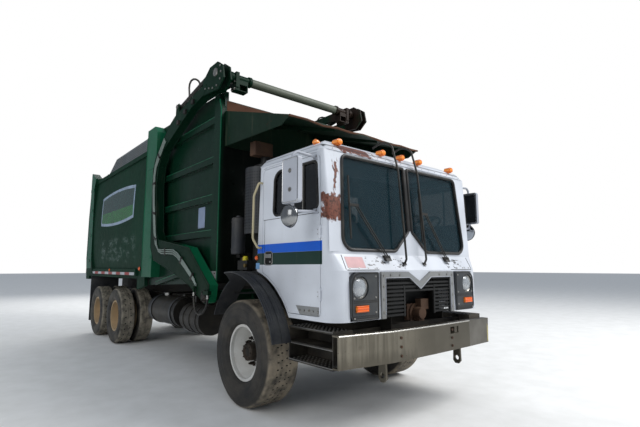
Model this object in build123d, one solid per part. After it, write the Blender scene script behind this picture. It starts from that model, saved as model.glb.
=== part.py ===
from build123d import *
import os
from math import cos, radians, sin, sqrt

# Front-loading refuse truck: cab-over tractor, hopper, packer body and lift arms.
# Millimetres. X runs forward from the front axle, Y to the truck's left, Z up from the ground.
# Every node is moved by ORIGIN_SHIFT at the end, so the origin is under the middle of the truck.

# Clearances
SEAT_GAP = 0.3              # between pieces that seat on each other
RUNNING_GAP = 0.05          # radial play of a pin in its bore
SWING_GAP = 6.0             # between panels that move past each other

# Wheels and axles
TANDEM_X = -5755.0          # middle of the tandem, behind the front axle
TANDEM_SPREAD = 1370.0
FRONT_TYRE_R = 561.5
FRONT_TYRE_W = 420.0
FRONT_TYRE_Y = 1060.0
REAR_TYRE_R = 528.0
REAR_TYRE_W = 280.0
REAR_OUTER_TYRE_Y = 1067.0
TWIN_SPACING = 345.0
RIM_R = 284.0               # tyre seat
RIM_FLANGE = 15.0
RIM_WALL = 12.0
BEAD_SHARE = 0.66           # bead width over tyre width
DISC_T = 14.0
DISC_FLAT_R = 205.0
HUB_R = 110.0
HUB_CAP_R = 82.0
NUT_CIRCLE_R = 142.9
NUT_R = 17.0
NUT_COUNT = 10
DRUM_R = 205.0
SPINDLE_R = 40.0
KINGPIN_Y = 780.0
KINGPIN_R = 25.0
AXLE_TUBE_R = 65.0

# Chassis
RAIL_OUTER_Y = 430.0
RAIL_WEB = 10.0
RAIL_FLANGE = 90.0
RAIL_BOTTOM_Z = 760.0
RAIL_TOP_Z = 1030.0
RAIL_FRONT_X = 1425.0
RAIL_REAR_X = -7340.0
CROSS_MEMBER_XS = (-1650.0, -3100.0, -4300.0, -7200.0)
CROSS_MEMBER_L = 80.0
CROSS_MEMBER_LOW_Z = 930.0
BODY_FLOOR_Z = 1280.0       # underside of hopper and packer body
HANGER_Z = 1036.0           # tank hangers on the body sills

# Bumper
BUMPER_FRONT_X = 1620.0
BUMPER_END_X = 1520.0
BUMPER_FLAT_Y = 640.0
BUMPER_HALF_W = 1210.0
BUMPER_LOW_Z = 634.0
BUMPER_HIGH_Z = 911.0
BUMPER_T = 12.0
BUMPER_DEPTH = 75.0
BUMPER_DROOP = 2.6          # degrees by which the left end hangs down
TOW_EYE_Y = 610.0
TOW_EYE_R = 25.0
TOW_EYE_X = 1470.0
TOW_EYE_Z = 500.0
TOW_PLATE_T = 24.0

# Cab
CAB_HALF_W = 1180.0
CAB_WALL = 50.0
CAB_REAR_CORNER_R = 60.0
CAB_BOTTOM_Z = 1000.0
CAB_FLOOR_Z = 1440.0
CAB_FLOOR_T = 40.0
CAB_EAVES_Z = 2575.0
ROOF_OVERHANG = 8.0
ROOF_T = 30.0
ROOF_CORNER = 60.0          # extra corner radius of the roof
ARCH_R = 900.0
TUNNEL_HALF_W = 450.0       # gap in the cab's back wall over rails and engine
# plan sections of the cab: height, front X, rear X, front corner radius
CAB_SECTIONS = [(CAB_BOTTOM_Z, 1455.0, 145.0, 175.0), (1450.0, 1440.0, 152.0, 160.0),
                (1600.0, 1362.0, 160.0, 82.0), (CAB_EAVES_Z, 1285.0, 205.0, 22.0)]
# plan sections of the roof: height above the eaves, inset from the eaves
ROOF_SECTIONS = [(0.0, 0.0), (80.0, 70.0), (160.0, 230.0)]
DOOR_FRONT_X = 1262.0
DOOR_REAR_X = 300.0
DOOR_LOW_Z = 1040.0
DOOR_HIGH_Z = 2530.0
DOOR_HINGE_OUT = 12.0       # hinge line stands this far outside the skin
DOOR_HINGE_R = 11.0
DOOR_PIN_R = 5.0
DOOR_HINGE_ZS = (1240.0, 1800.0)
DOOR_KNUCKLE_HALF = 30.0
DOOR_LUG_END = 55.0         # half height of a whole hinge
DOOR_CUT_IN = 180.0         # the door and window cuts run from inside the skin
DOOR_CUT_OUT = 120.0        # to outside it
SILL_Z = 2010.0
GLASS_T = 6.0
GLASS_INSET = 14.0
GRILLE_HALF_W = 600.0
GRILLE_TOP_Z = 1435.0
GRILLE_FRAME_W = 60.0
GRILLE_NOTCH_HALF_W = 194.0
GRILLE_NOTCH_Z = 1333.0
GRILLE_FACE_X = 1466.0
# wipers: pivot Y, arm tip Y, blade Y
WIPERS = [(-427.0, -850.0, -915.0), (586.0, 235.0, 165.0)]
BEZEL_IN_Y = 640.0
BEZEL_OUT_Y = 1005.0
BEZEL_LOW_Z = 1005.0
LAMP_Y = 880.0
LAMP_Z = 1295.0
LAMP_R = 90.0
# turned section of a headlamp: radius, station along X
LAMP_PROFILE = [(0.0, 1360.0), (60.0, 1364.0), (LAMP_R, 1420.0), (LAMP_R + 11, 1422.0), (LAMP_R + 11, 1438.0),
                (LAMP_R - 4, 1440.0), (70.0, 1452.0), (40.0, 1460.0), (0.0, 1464.0)]

# Hopper and packer body
HOPPER_HALF_W = 1100.0
HOPPER_WALL = 55.0
HOPPER_FRONT_X = -800.0
HOPPER_FRONT_TOP_Z = 3700.0
HOPPER_TOP_FRONT_Z = 3820.0
HOPPER_TOP_REAR_Z = 3880.0
BODY_JOINT_X = -3400.0      # rear edge of the hopper, front edge of the packer body
BODY_REAR_X = -7410.0
BODY_FLOOR_T = 40.0
RIB_ZS = (1970.0, 2440.0, 2950.0, 3500.0)
RIB_OUT = 55.0
RIB_H = 90.0
PILLAR_FRONT_X = -2915.0
PILLAR_OUT_Y = HOPPER_HALF_W + 140
PACKER_SIDE_Y = HOPPER_HALF_W + 80
PACKER_BULGE_Y = HOPPER_HALF_W + 122
PACKER_WALL = 60.0
PACKER_EAVES_Y = HOPPER_HALF_W + 70
PACKER_EAVES_Z = 3500.0
PACKER_CROWN_Z = 3640.0
RAIL_LOW_Z = 1330.0
RAIL_HIGH_Z = 1450.0
TAILGATE_REAR_X = -7800.0
TAILGATE_HINGE_X = -7400.0
TAILGATE_HINGE_Z = 3760.0
HINGE_PIN_R = 25.0
PANEL_REAR_X = -1060.0

# Lift arms and forks
ARM_PIVOT_X = -810.0
ARM_PIVOT_Z = 1125.0
ARM_SHAFT_R = 70.0
ARM_INNER_Y = HOPPER_HALF_W + 75
ARM_OUTER_Y = ARM_INNER_Y + 120
ARM_TIP_PLATE_T = 20.0
FORK_TUBE_X = -700.0
FORK_TUBE_Z = 3990.0
FORK_TUBE_R = 57.0
FORK_PIN_R = 40.0
FORK_REACH = 1850.0
FORK_BASE_X = -1950.0       # barrel pin on the arm
FORK_BASE_Z = FORK_TUBE_Z - 100
FORK_EYE_DX = -110.0        # lever eye from the fork tube
FORK_EYE_DZ = 110.0
CYLINDER_Y = (ARM_INNER_Y + ARM_OUTER_Y) / 2
LIFT_CYLINDER_Y = 600.0
LIFT_BASE_X = -2600.0
LIFT_BASE_Z = 900.0
LIFT_EYE_DX = 180.0         # lever eye from the arm pivot
LIFT_EYE_DZ = -290.0
CYLINDER_PIN_R = 25.0
HOSE_R = 13.0
# hanging oil hose at each arm's foot: X, distance outside the arm's face, Z
HOSE_ROUTE = [(-1075.0, 23.0, 1165.0), (-1075.0, 23.0, 1070.0), (-1024.0, 32.0, 972.0), (-932.0, 42.0, 909.0),
              (-818.0, 45.0, 903.0), (-722.0, 40.0, 956.0), (-665.0, 31.0, 1052.0), (-665.0, 31.0, 1145.0)]
RUN_SHARE = 0.45            # share of the shorter run that each bend takes up

ORIGIN_SHIFT = (-TAILGATE_REAR_X - BUMPER_FRONT_X) / 2
NODES = {}


# Drawing helpers

def box(x0, x1, y0, y1, z0, z1):
    """Block between two corners."""
    size = (abs(x1 - x0), abs(y1 - y0), abs(z1 - z0))
    return Pos((x0 + x1) / 2, (y0 + y1) / 2, (z0 + z1) / 2) * Box(*size)


def outline_face(points, radii=None):
    """Closed face through points, with rounded corners where radii are given."""
    if radii is None:
        return make_face(Polyline(*points, close=True))
    return make_face(FilletPolyline(*points, radius=radii, close=True))


def side_plate(points, y0, y1, radii=None):
    """Plate with a side outline (X, Z), between two Y planes."""
    low, high = min(y0, y1), max(y0, y1)
    plane = Plane(origin=(0, high, 0), x_dir=(1, 0, 0), z_dir=(0, -1, 0))
    return extrude(plane * outline_face(points, radii), high - low)


def front_plate(points, x0, x1, radii=None):
    """Plate with a front outline (Y, Z), from x0 forward to x1."""
    plane = Plane(origin=(x0, 0, 0), x_dir=(0, 1, 0), z_dir=(1, 0, 0))
    return extrude(plane * outline_face(points, radii), x1 - x0)


def plan_plate(points, z0, z1, radii=None):
    """Plate with a plan outline (X, Y), between two heights."""
    return extrude(Pos(0, 0, z0) * outline_face(points, radii), z1 - z0)


def rod_y(x, z, y0, y1, radius):
    """Round bar along Y."""
    return Pos(x, (y0 + y1) / 2, z) * Rot(90, 0, 0) * Cylinder(radius, abs(y1 - y0))


def rod_x(y, z, x0, x1, radius):
    """Round bar along X."""
    return Pos((x0 + x1) / 2, y, z) * Rot(0, 90, 0) * Cylinder(radius, abs(x1 - x0))


def rod_z(x, y, z0, z1, radius):
    """Upright round bar."""
    return Pos(x, y, (z0 + z1) / 2) * Cylinder(radius, abs(z1 - z0))


def bar(start, end, radius):
    """Round bar between two points."""
    a, b = Vector(*start), Vector(*end)
    return extrude(Plane(origin=a, z_dir=b - a) * Circle(radius), (b - a).length)


def bent_tube(points, radius, bends):
    """Tube of straight runs joined by tangent bends."""
    path = FilletPolyline(*points, radius=bends)
    return sweep(Plane(origin=path @ 0, z_dir=path % 0) * Circle(radius), path=path)


def turned(profile, x, y, z):
    """Ring turned about an axle along Y: a closed profile of (radius, offset along Y)."""
    ring = revolve(make_face(Polyline(*[(r, 0, w) for r, w in profile], close=True)), Axis.Z)
    return Pos(x, y, z) * Rot(-90, 0, 0) * ring


def mirrored(shape):
    """The same shape on the truck's other side."""
    return mirror(shape, about=Plane.XZ)


def both(shape):
    """The shape and its mirror image."""
    return [shape, mirrored(shape)]


def add(name, *shapes):
    """Keep a node: its solids in the truck's final frame."""
    NODES[name] = []
    for shape in shapes:
        for item in shape if isinstance(shape, list) else [shape]:
            NODES[name] += [solid.moved(Location((ORIGIN_SHIFT, 0, 0))) for solid in item.solids()]


# Wheels

def tyre(x, y, radius, width):
    """Tyre section: bead, bulged wall, shoulder and nearly flat tread."""
    half = width / 2
    seat = RIM_R + SEAT_GAP
    side = [(seat, BEAD_SHARE * half), (seat + RIM_FLANGE + 3, BEAD_SHARE * half),
            (seat + 36, 0.84 * half), (seat + 110, half),
            (radius - 70, 0.98 * half), (radius - 16, 0.88 * half), (radius, 0.74 * half)]
    return turned(side + [(r, -w) for r, w in reversed(side)], x, y, radius)


def rim(x, y, z, width, out, disc_at, edge_at):
    """Steel wheel: flanged barrel and a dished disc, out being +1 or -1 for the outer face."""
    seat = BEAD_SHARE * width / 2 + SEAT_GAP
    lip = seat + RIM_WALL
    inner = RIM_R - RIM_WALL
    flange = RIM_R + RIM_FLANGE
    barrel = [(inner, lip), (flange, lip), (flange, seat), (RIM_R, seat),
              (RIM_R, -seat), (flange, -seat), (flange, -lip), (inner, -lip)]
    disc = [(HUB_R, out * disc_at), (DISC_FLAT_R, out * disc_at), (inner, out * edge_at),
            (inner, out * (edge_at - DISC_T)), (DISC_FLAT_R, out * (disc_at - DISC_T)),
            (HUB_R, out * (disc_at - DISC_T))]
    return turned(barrel, x, y, z) + turned(disc, x, y, z)


def nuts(x, z, y0, y1):
    """Ring of wheel nuts standing on the disc."""
    steps = [radians(360 * k / NUT_COUNT) for k in range(NUT_COUNT)]
    return [rod_y(x + NUT_CIRCLE_R * cos(a), z + NUT_CIRCLE_R * sin(a), y0, y1, NUT_R) for a in steps]


def front_wheels():
    """Wide single wheels that turn on the knuckle spindles."""
    for side, out in (("left", 1), ("right", -1)):
        centre = out * FRONT_TYRE_Y
        face = centre - out * 20
        add(f"front_tyre_{side}", tyre(0, centre, FRONT_TYRE_R, FRONT_TYRE_W))
        wheel = rim(0, centre, FRONT_TYRE_R, FRONT_TYRE_W, out, -20.0, 112.0)
        hub = rod_y(0, FRONT_TYRE_R, face + out * 12, out * 930, HUB_R + 2)
        cap = rod_y(0, FRONT_TYRE_R, face, face + out * 62, HUB_CAP_R)
        drum = rod_y(0, FRONT_TYRE_R, face - out * 30, out * 905, DRUM_R)
        bore = rod_y(0, FRONT_TYRE_R, out * 900, face + out * 20, SPINDLE_R + RUNNING_GAP)
        studs = nuts(0, FRONT_TYRE_R, face - out * 2, face + out * 30)
        add(f"front_rim_{side}", (wheel + hub + cap + drum + studs) - bore)


def rear_wheels():
    """Twin wheels: two tyres and two back-to-back rims on each side of each axle."""
    for place, x in (("fore", TANDEM_X + TANDEM_SPREAD / 2), ("aft", TANDEM_X - TANDEM_SPREAD / 2)):
        for side, out in (("left", 1), ("right", -1)):
            outer = out * REAR_OUTER_TYRE_Y
            inner = out * (REAR_OUTER_TYRE_Y - TWIN_SPACING)
            middle = (outer + inner) / 2
            reach = TWIN_SPACING / 2
            add(f"rear_{place}_tyres_{side}", tyre(x, outer, REAR_TYRE_R, REAR_TYRE_W),
                tyre(x, inner, REAR_TYRE_R, REAR_TYRE_W))
            twins = (rim(x, outer, REAR_TYRE_R, REAR_TYRE_W, out, DISC_T - reach, -70.0)
                     + rim(x, inner, REAR_TYRE_R, REAR_TYRE_W, -out, DISC_T - reach, -70.0))
            hub = rod_y(x, REAR_TYRE_R, middle - out * 60, outer - out * 40, HUB_R + 2)
            cap = rod_y(x, REAR_TYRE_R, outer - out * 40, outer - out * 12, HUB_CAP_R)
            drum = rod_y(x, REAR_TYRE_R, middle - out * 12, middle - out * 190, DRUM_R)
            studs = nuts(x, REAR_TYRE_R, middle, middle + out * 44)
            bore = rod_y(x, REAR_TYRE_R, middle - out * 200, outer - out * 60, SPINDLE_R + RUNNING_GAP)
            add(f"rear_{place}_rims_{side}", (twins + hub + cap + drum + studs) - bore)


# Running gear

def front_axle():
    """Drop-centre beam with kingpin bosses, leaf springs and their hangers."""
    low, high = 440.0, 530.0
    boss_low, boss_high = FRONT_TYRE_R - 40, FRONT_TYRE_R + 40
    side = [(560, low), (660, boss_low), (KINGPIN_Y, boss_low), (KINGPIN_Y, boss_high), (640, boss_high),
            (540, high)]
    beam = front_plate([(y, z) for y, z in side] + [(-y, z) for y, z in reversed(side)], -45, 45)
    for y in (KINGPIN_Y, -KINGPIN_Y):
        beam += rod_z(0, y, boss_low, boss_high, 48)
    for y in (KINGPIN_Y, -KINGPIN_Y):
        beam -= rod_z(0, y, boss_low - 1, boss_high + 1, KINGPIN_R + RUNNING_GAP)
    spring_y = RAIL_OUTER_Y - RAIL_FLANGE / 2
    top = [(-780, RAIL_BOTTOM_Z), (-700, RAIL_BOTTOM_Z), (-350, 668), (0, 645), (350, 668),
           (700, RAIL_BOTTOM_Z), (780, RAIL_BOTTOM_Z)]
    bottom = [(780, 715), (350, 612), (60, 585), (60, high), (-60, high), (-60, 585), (-350, 612), (-780, 715)]
    spring = side_plate(top + bottom, spring_y - 38, spring_y + 38)
    add("front_axle", beam + spring + mirrored(spring))


def knuckles():
    """Steering knuckles: two ears on the kingpin, the spindle and a steering arm."""
    boss_low, boss_high = FRONT_TYRE_R - 40, FRONT_TYRE_R + 40
    ear_top, ear_low = boss_high + 2, boss_low - 2
    ears = (box(-48, 48, KINGPIN_Y - 45, KINGPIN_Y + 95, ear_top, ear_top + 36)
            + box(-48, 48, KINGPIN_Y - 45, KINGPIN_Y + 95, ear_low - 36, ear_low))
    web = box(-60, 60, KINGPIN_Y + 58, KINGPIN_Y + 95, ear_low - 36, ear_top + 36)
    pin = rod_z(0, KINGPIN_Y, ear_low - 36, ear_top + 36, KINGPIN_R)
    spindle = rod_y(0, FRONT_TYRE_R, KINGPIN_Y + 90, FRONT_TYRE_Y - 10, SPINDLE_R)
    plate = rod_y(0, FRONT_TYRE_R, KINGPIN_Y + 95, KINGPIN_Y + 107, DRUM_R - 12)
    arm = box(-230, 0, KINGPIN_Y - 45, KINGPIN_Y - 5, ear_low - 36, ear_low - 8)
    knuckle = ears + web + pin + spindle + plate + arm
    add("knuckle_left", knuckle)
    add("knuckle_right", mirrored(knuckle))


def rear_axles():
    """Two drive axles with banjo housings, camelback springs and the propeller shafts."""
    parts = []
    lemon = [(0.1, -330), (AXLE_TUBE_R, -330), (150, -190), (205, -60), (205, 60), (150, 190),
             (AXLE_TUBE_R, 330), (0.1, 330)]
    wheel_inner = REAR_OUTER_TYRE_Y - TWIN_SPACING / 2 - 190
    for x in (TANDEM_X + TANDEM_SPREAD / 2, TANDEM_X - TANDEM_SPREAD / 2):
        axle = turned(lemon, x, 0, REAR_TYRE_R)
        axle += rod_y(x, REAR_TYRE_R, 8 - wheel_inner, wheel_inner - 8, AXLE_TUBE_R)
        spindle_end = REAR_OUTER_TYRE_Y - 70
        axle += rod_y(x, REAR_TYRE_R, -spindle_end, spindle_end, SPINDLE_R)
        axle += rod_x(0, REAR_TYRE_R + 20, x, x + 330, 85)
        parts.append(axle)
    half = TANDEM_SPREAD / 2
    seat = REAR_TYRE_R + AXLE_TUBE_R
    leaf = [(-half - 90, seat), (-half + 60, seat), (0, seat + 70), (half - 60, seat), (half + 90, seat),
            (half + 90, seat + 40), (100, seat + 190), (-100, seat + 190), (-half - 90, seat + 40)]
    spring = side_plate([(TANDEM_X + x, z) for x, z in leaf], RAIL_OUTER_Y + 45, RAIL_OUTER_Y + 125)
    saddle = box(TANDEM_X - 110, TANDEM_X + 110, RAIL_OUTER_Y, RAIL_OUTER_Y + 45, seat + 20, RAIL_TOP_Z - 60)
    suspension = spring + saddle
    for x in (TANDEM_X - half, TANDEM_X + half):
        suspension += box(x - 70, x + 70, RAIL_OUTER_Y + 45, RAIL_OUTER_Y + 125, REAR_TYRE_R, seat + 5)
    gear = parts[0] + parts[1] + suspension + mirrored(suspension)
    nose_fore = TANDEM_X + half + 330
    nose_aft = TANDEM_X - half + 330
    gear += bar((nose_fore, 0, REAR_TYRE_R + 20), (-1412, 0, 850), 50)
    gear += bar((nose_aft, 0, REAR_TYRE_R + 20), (TANDEM_X + half - 150, 0, REAR_TYRE_R + 20), 50)
    add("rear_axles", gear)


def frame_rails():
    """C rails, cross members, body sills, arm bearings and cylinder pins, all welded up."""
    web_in = RAIL_OUTER_Y - RAIL_WEB
    flange_in = RAIL_OUTER_Y - RAIL_FLANGE
    rail = box(RAIL_REAR_X, RAIL_FRONT_X, web_in, RAIL_OUTER_Y, RAIL_BOTTOM_Z, RAIL_TOP_Z)
    for z in (RAIL_BOTTOM_Z, RAIL_TOP_Z - RAIL_WEB):
        rail += box(RAIL_REAR_X, RAIL_FRONT_X, flange_in, RAIL_OUTER_Y, z, z + RAIL_WEB)
    rail += box(RAIL_REAR_X, ARM_PIVOT_X - 160, flange_in, RAIL_OUTER_Y, RAIL_TOP_Z, BODY_FLOOR_Z)
    block = box(ARM_PIVOT_X - 120, ARM_PIVOT_X + 120, flange_in, RAIL_OUTER_Y, RAIL_TOP_Z,
                ARM_PIVOT_Z + ARM_SHAFT_R + 30)
    pin = rod_y(LIFT_BASE_X, LIFT_BASE_Z, RAIL_OUTER_Y - RAIL_WEB, LIFT_CYLINDER_Y + 60, CYLINDER_PIN_R)
    boss = rod_y(LIFT_BASE_X, LIFT_BASE_Z, RAIL_OUTER_Y, LIFT_CYLINDER_Y - 68, 60)
    side = rail + block + pin + boss
    frame = side + mirrored(side)
    for x in CROSS_MEMBER_XS:
        frame += box(x, x + CROSS_MEMBER_L, -web_in, web_in, CROSS_MEMBER_LOW_Z, RAIL_TOP_Z - RAIL_WEB)
    frame += box(RAIL_FRONT_X - 60, RAIL_FRONT_X, -web_in, web_in, RAIL_BOTTOM_Z + 10, CROSS_MEMBER_LOW_Z)
    for x in (205, 1310):
        for y in (flange_in, -RAIL_OUTER_Y):
            frame += box(x, x + 70, y, y + RAIL_FLANGE, RAIL_TOP_Z, CAB_FLOOR_Z - SEAT_GAP)
    frame -= rod_y(ARM_PIVOT_X, ARM_PIVOT_Z, -RAIL_OUTER_Y - 5, RAIL_OUTER_Y + 5, ARM_SHAFT_R + RUNNING_GAP)
    add("frame_rails", frame)


def drive_line():
    """Engine and gearbox as one plain block between the rails, and the radiator in front."""
    engine = box(-150, 1060, -310, 310, 790, 1390) + rod_x(0, 850, -1400, -150, 175)
    for x in (60, 860):
        for y in (300, RAIL_WEB - RAIL_OUTER_Y + SEAT_GAP):
            engine += box(x, x + 90, y, y + RAIL_OUTER_Y - RAIL_WEB - SEAT_GAP - 300, 790, 860)
    add("engine_block", engine)
    radiator = box(1150, 1270, -470, 470, RAIL_TOP_Z, 1390)
    for y in (-470, 430):
        radiator += box(1130, 1290, y, y + 40, RAIL_TOP_Z, 1395)
    add("radiator", radiator)
    front = RAIL_FRONT_X - 60
    pump = rod_x(60, 1010, 1300, front - 20, 95) + box(1290, 1330, -60, 180, 935, 1100)
    pump += rod_x(60, 1010, front - 30, front + 70, 60) + box(1330, 1400, 80, 210, 1040, 1150)
    pump += box(1330, front, 20, 100, CROSS_MEMBER_LOW_Z, 960)
    pump += box(front + 5, front + 55, 20, 100, CROSS_MEMBER_LOW_Z + SEAT_GAP, 1000)
    add("front_pump", pump)


def side_tanks():
    """Fuel and hydraulic tanks hung outside the rails, and round air tanks."""
    tanks = []
    drum_in, drum_out = 700.0, 1150.0
    fuel = Pos(-2700, (drum_in + drum_out) / 2, 800) * Rot(0, 90, 0) * Cylinder(225, 1100)
    for x in (-3100, -2300):
        fuel += box(x - 40, x + 40, RAIL_OUTER_Y, 930, HANGER_Z, HANGER_Z + 25)
        fuel += box(x - 40, x + 40, 880, 930, 990, HANGER_Z + 10)
        fuel += Pos(x, (drum_in + drum_out) / 2, 800) * Rot(0, 90, 0) * Cylinder(233, 60)
    tanks += [mirrored(fuel)]
    oil = box(-3150, -2250, 720, 1150, 560, 1000)
    oil = fillet(oil.edges().filter_by(Axis.X), 60)
    for x in (-3000, -2400):
        oil += box(x - 40, x + 40, RAIL_OUTER_Y, 900, HANGER_Z, HANGER_Z + 25)
        oil += box(x - 40, x + 40, 850, 900, 990, HANGER_Z + 10)
    tanks += [oil]
    air = Pos(-1650, 925, 760) * Rot(0, 90, 0) * Cylinder(205, 640)
    for x in (-1850, -1650, -1450):
        air += Pos(x, 925, 760) * Rot(0, 90, 0) * Cylinder(213, 40)
    for x in (-1850, -1450):
        air += box(x - 40, x + 40, RAIL_OUTER_Y, 950, HANGER_Z, HANGER_Z + 25)
        air += box(x - 40, x + 40, 900, 950, 950, HANGER_Z + 10)
    tanks += both(air)
    add("side_tanks", tanks)


# Front end

def bumper():
    """Channel bumper with swept ends; the left end hangs down."""
    def plan(depth, inset):
        front = BUMPER_FRONT_X - inset
        end = BUMPER_END_X - inset
        side = [(end, BUMPER_HALF_W), (front - 6, BUMPER_FLAT_Y)]
        back = [(front - depth, BUMPER_FLAT_Y), (end - depth, BUMPER_HALF_W)]
        return ([side[0], side[1], (front, 0), (side[1][0], -side[1][1]), (side[0][0], -side[0][1])]
                + [(back[1][0], -back[1][1]), (back[0][0], -back[0][1]), back[0], back[1]])
    shell = plan_plate(plan(BUMPER_T, 0), BUMPER_LOW_Z, BUMPER_HIGH_Z)
    for z in (BUMPER_LOW_Z, BUMPER_HIGH_Z - BUMPER_T):
        shell += plan_plate(plan(BUMPER_DEPTH, 0), z, z + BUMPER_T)
    shell -= box(1500, 1700, 270, 420, 800, 868)
    droop_at = Axis((0, BUMPER_FLAT_Y, BUMPER_HIGH_Z), (1, 0, 0))
    keep = shell & box(1300, 1700, -1300, BUMPER_FLAT_Y, 500, 1000)
    end = shell & box(1300, 1700, BUMPER_FLAT_Y, 1300, 500, 1000)
    bent = end.rotate(droop_at, -BUMPER_DROOP)
    hinge = box(1536, BUMPER_FRONT_X - 20, BUMPER_FLAT_Y - 10, BUMPER_FLAT_Y + 10,
                BUMPER_LOW_Z + 4, BUMPER_HIGH_Z - 4)
    whole = keep + bent + hinge
    for y in (RAIL_OUTER_Y - 70, -RAIL_OUTER_Y):
        whole += box(RAIL_FRONT_X + SEAT_GAP, BUMPER_FRONT_X - BUMPER_T, y, y + 70, RAIL_BOTTOM_Z, RAIL_TOP_Z - 140)
    beam = box(1445, 1495, RAIL_OUTER_Y - RAIL_FLANGE, TOW_EYE_Y + TOW_PLATE_T / 2, 690, RAIL_BOTTOM_Z)
    half = TOW_PLATE_T / 2
    plate = side_plate([(1435, 750), (1505, 750), (1515, 470), (1490, 440), (1450, 440), (1425, 470)],
                       TOW_EYE_Y - half, TOW_EYE_Y + half)
    hook = (beam + plate) - rod_y(TOW_EYE_X, TOW_EYE_Z, TOW_EYE_Y - 40, TOW_EYE_Y + 40, TOW_EYE_R)
    add("front_bumper", whole + hook + mirrored(hook))


# Cab

def cab_section(z, front, rear, corner, inset):
    """Plan section of the cab, pulled in all round by inset."""
    half = CAB_HALF_W - inset
    corners = [(front - inset, -half), (front - inset, half), (rear + inset, half), (rear + inset, -half)]
    radii = [max(corner - inset, 5), max(corner - inset, 5),
             max(CAB_REAR_CORNER_R - inset, 5), max(CAB_REAR_CORNER_R - inset, 5)]
    return Pos(0, 0, z) * outline_face(corners, radii)


def cab_solid(inset):
    """The cab's outer form, pulled in by inset."""
    return loft([cab_section(*section, inset) for section in CAB_SECTIONS], ruled=True)


def pane_outline(side, grow):
    """Half windscreen seen from the front, grown outwards by grow."""
    inner, apex_z, low, high = 32 - grow, 1850, 1640 - grow, 2545 + grow
    points = [(inner, high), (945 + grow, high), (1000 + grow, low), (262 - grow * 0.5, low),
              (inner, apex_z - grow)]
    return [(side * y, z) for y, z in (points if side > 0 else reversed(points))]


def pane_prism(side, grow):
    """Half windscreen opening as a long prism along X."""
    radii = [20, 60, 120, 90, 30]
    return front_plate(pane_outline(side, grow), 1150, 1600, radii if side > 0 else radii[::-1])


def door_prism(side, gap):
    """Door outline as a prism through one side of the cab."""
    corners = [(DOOR_FRONT_X - gap, DOOR_LOW_Z + gap), (DOOR_FRONT_X - gap, DOOR_HIGH_Z - gap),
               (DOOR_REAR_X + gap, DOOR_HIGH_Z - gap), (DOOR_REAR_X + gap, DOOR_LOW_Z + gap)]
    slab = side_plate(corners, side * (CAB_HALF_W - DOOR_CUT_IN), side * (CAB_HALF_W + DOOR_CUT_OUT),
                      [40 - gap, 70 - gap, 60 - gap, 40 - gap])
    return slab - rod_y(0, FRONT_TYRE_R, side * (CAB_HALF_W - 280), side * (CAB_HALF_W + 220), ARCH_R + 14 + gap)


def door_window(side, grow):
    """Side window opening as a prism."""
    corners = [(1228 + grow, SILL_Z - grow), (1205 + grow, 2470 + grow), (520 - grow, 2470 + grow),
               (500 - grow, SILL_Z - grow)]
    return side_plate(corners, side * (CAB_HALF_W - DOOR_CUT_IN), side * (CAB_HALF_W + DOOR_CUT_OUT),
                      [60, 50, 110, 60])


def door_hinges(side):
    """Knuckles on the door, and the pins with their lugs on the cab."""
    y = side * (CAB_HALF_W + DOOR_HINGE_OUT)
    skin, leaf = side * (CAB_HALF_W - 1), side * (CAB_HALF_W + 6)
    on_door, on_cab = [], []
    for z in DOOR_HINGE_ZS:
        low, high = z - DOOR_KNUCKLE_HALF, z + DOOR_KNUCKLE_HALF
        knuckle = rod_z(DOOR_FRONT_X, y, low, high, DOOR_HINGE_R)
        knuckle += box(DOOR_FRONT_X - 50, DOOR_FRONT_X, skin, leaf, low, high)
        on_door.append(knuckle - rod_z(DOOR_FRONT_X, y, low - 1, high + 1, DOOR_PIN_R + RUNNING_GAP))
        pin = rod_z(DOOR_FRONT_X, y, z - DOOR_LUG_END, z + DOOR_LUG_END, DOOR_PIN_R)
        for z0, z1 in ((z - DOOR_LUG_END, low - 1), (high + 1, z + DOOR_LUG_END)):
            pin += rod_z(DOOR_FRONT_X, y, z0, z1, DOOR_HINGE_R)
            pin += box(DOOR_FRONT_X, DOOR_FRONT_X + 14, skin, leaf + side * 4, z0, z1)
        on_cab.append(pin)
    return on_door, on_cab


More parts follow.
